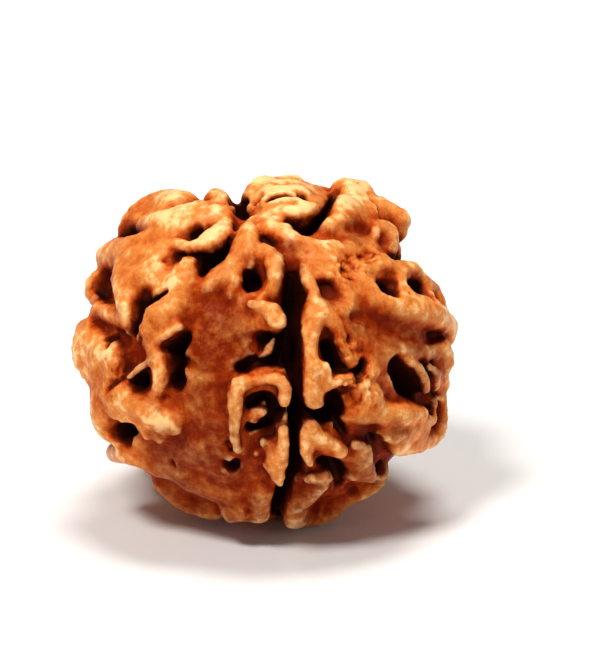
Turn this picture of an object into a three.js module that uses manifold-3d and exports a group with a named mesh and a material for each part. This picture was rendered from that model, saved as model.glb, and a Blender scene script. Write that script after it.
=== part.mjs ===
import * as THREE from "three";
import { mergeVertices } from "three/addons/utils/BufferGeometryUtils.js";
import Module from "manifold-3d";

// A one mukhi rudraksha bead: a round seed stone with swollen lobes, a raised net of ridges,
// deep pits, one long furrow down its front and a thread hole from pole to pole.
// Millimetres, +Z up, the furrow towards -Y, the origin under the middle on the flat spot.

// The round body under the relief: half its width and half its height.
const bodyWide = 10.35;
const bodyTall = 9.85;

// The front strokes are placed as they show from this height, in degrees above level.
const viewElevation = 20;

// How softly lobes and ridges run into what is under them, and how sharp a hollow's lip is.
const lobeBlend = 0.75;
const ridgeBlend = 0.42;
const hollowBlend = 0.28;

// A ridge is narrower beneath its crest by this share of its half width, and a hollow widens
// outward by this much a millimetre.
const ridgeNeck = 0.15;
const hollowFlare = 0.12;

// Low swellings all over: height and wavelength.
const broadSwell = { height: 0.14, wavelength: 4.5, seed: 5 };
const fineSwell = { height: 0.06, wavelength: 1.8, seed: 6 };

// The thread hole, and the level under the middle at which the flat spot lies.
const threadHole = { diameter: 1.2, across: -1.5, up: 8.7, level: -0.4, sides: 14 };
const flatSpotDepth = 10.5;

// The form is measured on a grid of this half size and pitch. A net drawn over it is thinned to
// this many triangles, with the back held to a share of the front's care.
const gridHalf = 13;
const gridPitch = 0.26;
const keptTriangles = 11400;
const backShare = 0.35;

// Colour and gloss of the polished stone.
const stoneColour = "#a8561f";
const stoneRoughness = 0.45;
const stoneMetalness = 0;

// Each stroke is a list of points: across and up as seen from the front, then the height of
// its crest above the body, or of a hollow's floor, and its half width.
// Lobes are the broad swellings that carry the net.
const lobes = {
  "upper left lobe": [
    [-8.5, 7.6, 1.5, 0.8], [-7.6, 8.15, 1.75, 1.3], [-6.3, 8.55, 1.95, 1.6], [-5.3, 8.75, 1.8, 1.35],
  ],
  "upper left lobe foot": [
    [-7.6, 7.8, 1.6, 0.8], [-6.4, 7.9, 1.8, 0.9], [-5.2, 8.25, 1.7, 0.9], [-4.2, 8.65, 1.4, 0.8],
  ],
  "upper left knob": [[-3.1, 9.5, 1.15, 0.7], [-2.7, 9.3, 1, 0.6], [-3.2, 8.8, 0.8, 0.6]],
  "nose side": [
    [-6.3, 7.2, 1.1, 0.6], [-5.2, 7.3, 1.1, 0.7], [-3.9, 7.8, 1.1, 0.8], [-3, 8.2, 0.9, 0.7],
  ],
  "left plate top": [
    [-9.7, 5.9, 1.7, 0.95], [-8.3, 6, 1.6, 1.1], [-6.9, 6.1, 1.3, 1], [-5.9, 6.3, 1.1, 0.7],
  ],
  "left plate middle": [[-8.3, 5.3, 1.5, 1.1], [-7.6, 4.35, 1.4, 1.15], [-6.9, 4.9, 1.3, 0.9]],
  "left plate right": [[-7.5, 5.6, 1.3, 1], [-6.4, 5.4, 1.2, 0.8], [-6.6, 4.5, 1.1, 0.65]],
  "left tongue": [
    [-8.7, 4.4, 1.4, 0.9], [-8.5, 3.2, 1.5, 0.85], [-8.4, 2.3, 1.3, 0.65], [-8.35, 1.4, 0.8, 0.35],
  ],
  "tongue band": [[-10.4, 2.6, 1.1, 0.45], [-9.5, 2.3, 1, 0.6], [-8.8, 1.9, 0.9, 0.5]],
  "second plate": [
    [-4.8, 5.05, 1.3, 0.9], [-5, 4.2, 1.3, 1.15], [-5.8, 3.2, 1.2, 1.2], [-6.5, 2.4, 1.1, 1],
    [-7.2, 1.5, 0.9, 0.7], [-7.6, 1, 0.65, 0.4],
  ],
  "second plate foot": [[-5.3, 2.8, 0.9, 1], [-6, 1.9, 0.8, 0.8], [-6.7, 1.1, 0.7, 0.6]],
  "left middle": [
    [-3.6, 3.2, 0.1, 0.9], [-3.4, 1.4, -0.1, 1.1], [-3.6, -0.6, 0, 1.1], [-3.6, -2.4, 0.2, 1.1],
  ],
  "crown base": [
    [-0.4, 9.3, 0.4, 0.5], [0.5, 9.4, 1, 0.8], [1.5, 9.35, 1.15, 0.9], [2.4, 9.5, 1, 0.9],
    [3.3, 9.9, 0.6, 0.6],
  ],
  "crown middle": [[0.3, 9.65, 1.05, 0.45], [1.3, 9.75, 1.22, 0.5], [2.1, 9.7, 1.15, 0.5]],
  "crown upper": [[0.1, 10.15, 1.1, 0.4], [0.9, 10.35, 1.18, 0.45], [1.7, 10.3, 1.2, 0.45]],
  "crown root": [[0, 8.35, 0.4, 0.4], [0.6, 8, 0.7, 0.5], [0.3, 7.3, 0.4, 0.5], [1.2, 7.5, 0.8, 0.5]],
  "window head": [[-0.4, 5.9, 0.7, 0.4], [-0.4, 5.35, 0.35, 0.35]],
  "crevice floor": [[-0.15, 7.2, 0.45, 0.4]],
  "furrow head": [[1.3, 6.3, 0.7, 0.55], [1.5, 5.6, 0.5, 0.5], [1.6, 4.9, 0.1, 0.4]],
  "right crest foot": [[1.9, 6.3, 0.65, 0.45], [2.8, 6.2, 0.8, 0.5], [4, 6.05, 0.85, 0.55]],
  "band foot": [[3.1, 5.3, 0.7, 0.45], [4.2, 5.2, 0.8, 0.5]],
  "right shoulder": [
    [4.6, 8.5, 1.2, 0.8], [5.6, 8.7, 1.5, 1.1], [6.3, 8.6, 1.5, 0.8], [6.95, 8.7, 1.5, 0.7],
  ],
  "shoulder left foot": [[3.7, 7.7, 0.9, 0.7], [4.3, 8.5, 1.1, 0.7], [4.7, 9.2, 1.4, 0.6]],
  "right shoulder crest": [[4.95, 9.95, 2.1, 0.95], [5.7, 9.7, 2.1, 1.1]],
  "right shoulder end": [[7.2, 8.8, 1.8, 0.75], [8.2, 8.2, 2.05, 0.87], [8.3, 7.6, 1.7, 0.6]],
  "shoulder foot": [[4.6, 7.6, 0.9, 0.9], [5.8, 7.6, 0.9, 1], [6.9, 7.3, 0.9, 0.8]],
  "hook body": [[7, 7.4, 1.25, 0.6], [7.5, 7.1, 1.35, 0.7], [7.6, 6.4, 1.2, 0.6]],
  "right plate": [
    [4.6, 5.6, 0.7, 1], [5.8, 6.3, 0.8, 1], [6.6, 5.4, 0.9, 0.9], [5.4, 4.6, 0.8, 1],
    [6.4, 3.6, 0.8, 1],
  ],
  "right plate side": [
    [4.9, 3.4, 0.75, 0.8], [4.9, 2.4, 0.65, 0.8], [5.3, 1.5, 0.55, 0.8], [5.8, 0.6, 0.5, 0.8],
  ],
  "arm plate": [
    [4.3, 2.2, 0.8, 0.7], [4.8, 1.2, 0.6, 0.7], [5.2, 0.3, 0.6, 0.6], [5.3, -0.4, 0.5, 0.5],
  ],
  "right plate brow": [[7, 5.2, 0.9, 0.7], [7.8, 4.85, 1, 0.6], [8.9, 4.9, 1.2, 0.6]],
  "right bulge": [
    [6.4, 3.1, 0.8, 0.9], [7.8, 2.85, 1.3, 1.05], [9, 2.6, 1.6, 1.1], [10.2, 2.3, 1.8, 1],
    [11, 1.8, 1.75, 0.8],
  ],
  "right bulge end": [[11.35, 1.6, 1.8, 0.65], [11.3, 0.9, 1.6, 0.55]],
  "bulge heel": [[11, 0.4, 1.5, 0.45], [11.1, -0.1, 1.4, 0.45]],
  "right bulge foot": [[6.2, 1.3, 0.1, 0.8], [7.6, 1, 0.15, 0.7], [9, 0.7, 0.3, 0.6]],
  "outer edge": [[9.75, 4.3, 1.15, 0.5], [10.15, 3.8, 1.25, 0.6], [10.4, 3.2, 1.25, 0.6]],
  "outer edge side": [[9.75, 4, 1.05, 0.4], [10, 3.5, 1.2, 0.42]],
  "right middle": [
    [6.4, -0.4, 0.6, 0.9], [7.6, 0.1, 0.6, 0.7], [9.6, 0.1, 0.9, 0.6], [10.6, 0, 1.2, 0.6],
    [11.15, -0.6, 1.5, 0.55],
  ],
  "rib floor": [[10.3, -1.3, 1, 0.6], [10.5, -2.2, 1, 0.6]],
  "lower right plate": [
    [6.2, -1.2, 0.9, 0.8], [5.9, -2, 1, 0.9], [6.3, -2.8, 1.1, 1], [5.8, -3.8, 1, 0.7],
  ],
  "lower right ledge": [[6.6, -3.7, 1, 0.75], [8.2, -3.8, 1.3, 0.75], [9.5, -3.85, 1.4, 0.6]],
  "lower right rim": [
    [7.9, -5.8, 1.2, 0.7], [9.2, -5.5, 1.5, 0.85], [10.1, -5.2, 1.75, 0.85], [10.65, -4.6, 1.7, 0.7],
    [10.85, -3.7, 1.5, 0.5], [10.9, -3.1, 1.3, 0.4],
  ],
  "rim side": [[10.1, -4, 1.3, 0.5], [10.3, -3.2, 1.15, 0.4]],
  "rim back": [[7.3, -5, 1.1, 0.7], [8.2, -4.9, 1.3, 0.7], [9.6, -4.75, 1.4, 0.6]],
  "left ring side": [
    [-11.1, 1.3, 1.6, 0.7], [-11.3, 0.2, 2, 0.8], [-11.1, -0.6, 1.9, 0.85], [-10.6, -1.4, 1.5, 0.75],
    [-10.3, -2.1, 1.2, 0.6],
  ],
  "left side plate": [
    [-10.6, 1.7, 1.2, 0.6], [-10.4, 0.6, 1.5, 0.8], [-9.3, -0.2, 1.35, 0.95], [-9.3, -1, 1.3, 0.85],
  ],
  "left side middle": [[-11, 1.2, 1.45, 0.7], [-10.6, 0.3, 1.6, 0.95], [-10.1, -0.7, 1.45, 0.85]],
  "left side foot": [[-10, -1.5, 1.2, 0.7], [-9.6, -2.2, 1.2, 0.6]],
  "lower left dome": [
    [-9.8, -3, 1.7, 1.15], [-9.8, -4, 1.8, 1.1], [-9.7, -4.7, 1.65, 0.85], [-9.3, -5.2, 1.5, 0.6],
  ],
  "lower left dome side": [[-9.3, -2.7, 1.45, 0.85], [-9.1, -3.5, 1.4, 0.75]],
  "lower left arm": [
    [-8.6, -3, 1.4, 1], [-7.3, -3.5, 1.35, 1], [-6.4, -4.1, 1.2, 0.9], [-5.7, -4.5, 1, 0.65],
  ],
  "lower left arm foot": [[-7.3, -4.5, 0.95, 0.7], [-6.4, -5, 0.75, 0.7]],
  "pit shoulder": [[-8.6, -2, 1, 0.6], [-8.3, -2.6, 1.1, 0.6]],
  "lower left tongue": [
    [-9.35, -6.25, 1.5, 0.65], [-8.5, -6.3, 1.5, 0.7], [-7.4, -6.6, 1.1, 0.75], [-6.6, -7.1, 0.8, 0.7],
  ],
  "lower left cheek": [
    [-7.4, -5.3, 0.6, 0.7], [-6.6, -5.9, 0.4, 0.8], [-5.2, -6.2, 0.3, 1], [-3.8, -5.4, 0.2, 1.1],
  ],
  "bowl left": [[-6.1, -8, 1, 1], [-5, -8.8, 1, 1.1], [-3.4, -9.4, 1.1, 1.1]],
  "bowl face": [[-5.4, -6.9, 0.6, 1.1], [-4.2, -7.6, 0.6, 1.2], [-3, -8.3, 0.7, 1]],
  "bowl middle": [[-2, -9.75, 1.4, 0.85], [-1.6, -9.75, 1.4, 0.8], [-1.9, -8.7, 0.7, 0.7]],
  "bowl front": [[-0.3, -8.6, 0.85, 0.75], [-0.4, -9.9, 1.3, 0.75]],
  "bowl right": [
    [2, -9, 1, 0.85], [1.65, -10, 1.45, 0.95], [2.4, -10.1, 1.3, 0.85], [3.6, -9.9, 1, 0.85],
    [4.7, -9.1, 0.9, 0.7],
  ],
  "bowl right end": [[5.8, -8.6, 0.9, 0.7], [6.8, -8, 1, 0.65], [7.15, -7.5, 0.9, 0.5]],
  "lower right post": [[5.8, -6.2, 0.8, 0.65], [5.85, -7.2, 0.9, 0.7]],
  "fork face": [[2.8, -5, 0.7, 0.5], [3.3, -5.5, 0.7, 0.5], [4.2, -6, 0.7, 0.4]],
  "knob face": [[3.3, -8.2, 1, 0.6], [2.6, -8.7, 1, 0.7]],};

// Hollows are the furrow, the clefts, the windows between ridges and the pits.
const hollows = {
  "left ring": [[-9.75, 4.4, -0.9, 0.5], [-10, 3.85, -1.1, 0.66], [-9.75, 3.3, -0.8, 0.5]],
  "under the left plate": [
    [-6.2, 3.8, 0.7, 0.1], [-6.9, 3.35, 0.1, 0.14], [-7.45, 2.8, -0.8, 0.3], [-7.75, 2.2, -0.9, 0.27],
    [-8, 1.6, -0.6, 0.2], [-8.25, 1.15, -0.1, 0.15],
  ],
  "upper left cleft": [
    [-2.05, 7.75, 0.15, 0.1], [-2.1, 7, -0.7, 0.15], [-2.35, 6.4, -1.3, 0.26], [-2.9, 5.8, -1.9, 0.46],
    [-3.4, 5.3, -1.9, 0.42], [-3.62, 4.8, -1.1, 0.22],
  ],
  "below the nose": [
    [-5.45, 5.65, 0.7, 0.12], [-4.9, 5.95, 0.4, 0.16], [-4.1, 6, -0.6, 0.26], [-3.3, 5.85, -1.6, 0.4],
  ],
  "plate speck": [[-6.25, 5.72, 0.75, 0.12], [-6.05, 5.78, 0.75, 0.1]],
  "ridge eye": [[-4.4, 7.2, -0.4, 0.2], [-4.15, 7.35, -0.4, 0.24]],
  "behind the long ridge": [[-9, 7.15, 0.1, 0.18], [-8.5, 7.35, -0.1, 0.24], [-8.15, 7.5, 0.3, 0.16]],
  "front window": [[-0.95, 4.85, -1, 0.42], [-0.85, 4.3, -1.6, 0.5]],
  "furrow top": [[-0.7, 8.15, 0.1, 0.08], [-0.45, 7.5, 0.15, 0.1], [-0.15, 6.95, 0.1, 0.12]],
  "long furrow": [
    [1.5, 5, 0.1, 0.32], [1.6, 4.3, -0.8, 0.46], [1.7, 3.2, -1.8, 0.58], [1.7, 2, -2.2, 0.48],
    [1.6, 0.8, -2.3, 0.6], [1.8, -0.6, -2.4, 0.44], [2, -2, -2.5, 0.3], [1.95, -3.6, -2.5, 0.36],
    [1.85, -5, -2.4, 0.28], [1.8, -6.6, -2.3, 0.3], [1.4, -7.7, -2, 0.3], [0.95, -8.7, -1.6, 0.26],
    [0.75, -9.5, -1.1, 0.22], [0.55, -10.2, -0.5, 0.14],
  ],
  "upper right cleft": [
    [1.75, 7.75, -0.6, 0.22], [2.3, 7.55, -1.2, 0.36], [2.85, 7.8, -1.2, 0.26], [3.4, 8.4, -1, 0.18],
    [3.85, 9.1, -0.6, 0.12], [4.2, 9.7, 0, 0.1],
  ],
  "crown slit": [[2.1, 9.6, 0.3, 0.12], [2.35, 9.45, 0.2, 0.12]],
  "shoulder dent": [[5.3, 7.55, 0.5, 0.45], [6, 7.5, 0.5, 0.45]],
  "shoulder cleft": [[6.75, 9.3, 1.2, 0.12], [7.1, 8.7, 1.1, 0.16], [7.15, 8.35, 1, 0.16]],
  "hook dent": [[7.45, 7.1, 0.95, 0.28], [7.4, 6.6, 0.9, 0.24]],
  "right eye": [[7.4, 4.1, -1.2, 0.4], [7.8, 3.9, -1.3, 0.42]],
  "above the right eye": [[7.4, 4.75, 0.6, 0.2], [8, 4.85, 0.65, 0.2]],
  "far right eye": [[9.05, 4.5, 0.1, 0.14], [9.25, 4.05, -0.3, 0.18], [9.42, 3.72, 0, 0.13]],
  "far right line": [[10.1, 3.5, 0.9, 0.07], [10.55, 3.05, 0.95, 0.09]],
  "under the bulge": [
    [5.5, 2.2, 0.35, 0.3], [6.6, 1.8, 0.25, 0.5], [8, 1.3, 0.35, 0.45], [9.1, 1, 0.5, 0.34],
  ],
  "slot under the bulge": [[9.5, 0.6, 0.9, 0.12], [10.2, 0.8, 0.6, 0.18], [10.9, 1, 0.85, 0.12]],
  "great pit": [[8.05, -0.85, -1.8, 0.5], [8.5, -1.7, -2.2, 0.72], [9.1, -2.3, -1.6, 0.5]],
  "rim slot": [[10.25, -3.1, 0.7, 0.08], [10.4, -3.6, 0.4, 0.14], [10.4, -4, 0.6, 0.09]],
  "under the ledge": [
    [5, -4.95, 0.45, 0.24], [6.4, -5, 0.55, 0.3], [8, -4.85, 1, 0.22], [9.4, -4.65, 1.35, 0.1],
  ],
  "left of the plate column": [
    [-7.75, 0.75, 0.2, 0.22], [-7.9, 0, 0.15, 0.32], [-7.9, -0.5, 0.2, 0.22],
  ],
  "right of the ridge": [[3.75, 0.35, -1.6, 0.3], [4, -0.25, -1.8, 0.4], [4.4, -0.95, -1.6, 0.3]],
  "plate break": [[5.2, -1.1, -0.1, 0.18], [5.75, -1.15, -0.4, 0.2], [6.05, -0.6, -0.1, 0.18]],
  "plate break below": [[5.6, -1.3, 0.2, 0.1], [5.65, -1.75, 0.4, 0.1]],
  "plate break above": [
    [4.35, 2.65, 0.5, 0.08], [4.75, 2, 0.35, 0.11], [4.95, 1.3, 0.3, 0.11], [5.2, 0.75, 0.35, 0.09],
  ],
  "ridge dent": [[3.85, 3.95, 0.3, 0.32], [3.95, 3.35, 0.25, 0.4], [4.4, 3, 0.5, 0.24]],
  "pit below the ridge": [
    [4.15, -2.8, -1.4, 0.42], [4.25, -3.7, -1.8, 0.48], [3.5, -3.95, -1.8, 0.34],
    [2.5, -3.9, -2, 0.22],
  ],
  "pit behind the fork": [[4.5, -4.5, -0.6, 0.26], [4.9, -5.1, -0.3, 0.18]],
  "pit in the fork": [
    [3.5, -6.7, -1.2, 0.3], [4.1, -6.95, -1.4, 0.36], [4.6, -7.5, -1.3, 0.32], [4.6, -8.2, -0.7, 0.28],
  ],
  "post cleft": [[6.6, -5.3, -0.3, 0.24], [6.65, -6.2, -0.1, 0.16], [6.75, -6.9, 0.1, 0.12]],
  "recess by the rim": [[7.1, -5.5, 0.3, 0.26], [7.2, -6.3, 0.2, 0.24]],
  "low right eye": [[7.2, -7.2, -0.4, 0.24], [7.1, -7.5, -0.3, 0.18]],
  "low right dent": [[5.2, -8.3, -0.2, 0.3], [5.5, -8.7, 0, 0.26]],
  "bowl dent": [[3.8, -9.2, 0.3, 0.34], [3.7, -9.6, 0.4, 0.26]],
  "middle hollow": [
    [-1, 1.05, 0, 0.3], [-0.4, 0.9, -0.5, 0.45], [0.5, 0.75, -1.6, 0.55], [1.1, 0.4, -2.2, 0.5],
    [0.8, -0.35, -2, 0.5], [0, -0.4, -1.3, 0.45], [-0.8, -0.6, -0.7, 0.34],
  ],
  "hollow heart": [[-0.6, 0.3, -0.4, 0.4], [0.3, 0.2, -1.4, 0.5]],
  "left small pit": [[-0.9, -0.6, -0.9, 0.3], [-1.45, -0.95, -1.1, 0.38]],
  "arch pit": [
    [-1, -3.1, -1, 0.34], [0, -2.9, -1.4, 0.42], [0.7, -3.6, -1.6, 0.42], [0.2, -4.4, -1.4, 0.4],
    [-0.9, -4.6, -1.2, 0.36],
  ],
  "arch floor": [[0.3, -4.9, -0.6, 0.4], [-0.6, -5.6, -0.3, 0.5], [-0.8, -6.3, -0.2, 0.35]],
  "beside the arch": [[-2.3, -5.6, -0.2, 0.16], [-2.1, -6.1, -0.2, 0.14]],
  "low middle dent": [[-2.6, -6.9, -0.1, 0.3], [-2.1, -7.2, -0.8, 0.4], [-1.8, -6.8, -0.3, 0.26]],
  "bottom folds": [[-1.6, -8.3, 0.7, 0.14], [-1.3, -9, 0.8, 0.12], [-1.1, -10, 0.8, 0.12]],
  "long pit top": [[-5.15, 0.9, -1.8, 0.5], [-5.65, 0.5, -2, 0.5]],
  "long pit": [[-5.55, 0.2, -2, 0.44], [-5.5, -0.7, -1.8, 0.36], [-5.5, -1.65, -1.8, 0.58]],
  "beside the long pit": [[-4.95, -0.6, -0.5, 0.26], [-4.5, -0.75, 0.05, 0.28]],
  "left three corner pit": [
    [-7.45, -1.1, -0.9, 0.24], [-7.9, -1.5, -0.7, 0.2], [-7.5, -1.75, -1.2, 0.4],
  ],
  "lower left hole": [[-8.8, -4.9, -0.7, 0.42], [-8.2, -4.85, -1.1, 0.52]],
  "left side pit": [[-9.95, 0.85, 0.3, 0.18], [-9.65, 0.85, 0.1, 0.18], [-9.95, 0.4, 0.3, 0.12]],
  "left side line": [
    [-10.7, 2.1, 0.9, 0.1], [-10.2, 1.7, 0.7, 0.1], [-9.3, 1.25, 0.5, 0.1], [-8.5, 0.6, 0.2, 0.12],
    [-8.2, -0.3, 0.2, 0.16], [-8.4, -1.1, 0.2, 0.14],
  ],
  "left low line": [[-9.8, -2.3, 1, 0.08], [-9.3, -1.9, 0.75, 0.09], [-8.7, -1.5, 0.4, 0.12]],
  "bowl band": [[-4.8, -9.35, 0.6, 0.14], [-3.7, -9.4, 0.6, 0.14]],
  "left bowl slot": [[-5.8, -6.85, 0.1, 0.12], [-5.75, -7.2, 0.15, 0.12]],
  "mouth of the hole": [[-1.8, 8.95, -1, 0.22], [-1.5, 8.6, -1.4, 0.36], [-1.2, 8.4, -1, 0.2]],};

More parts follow.
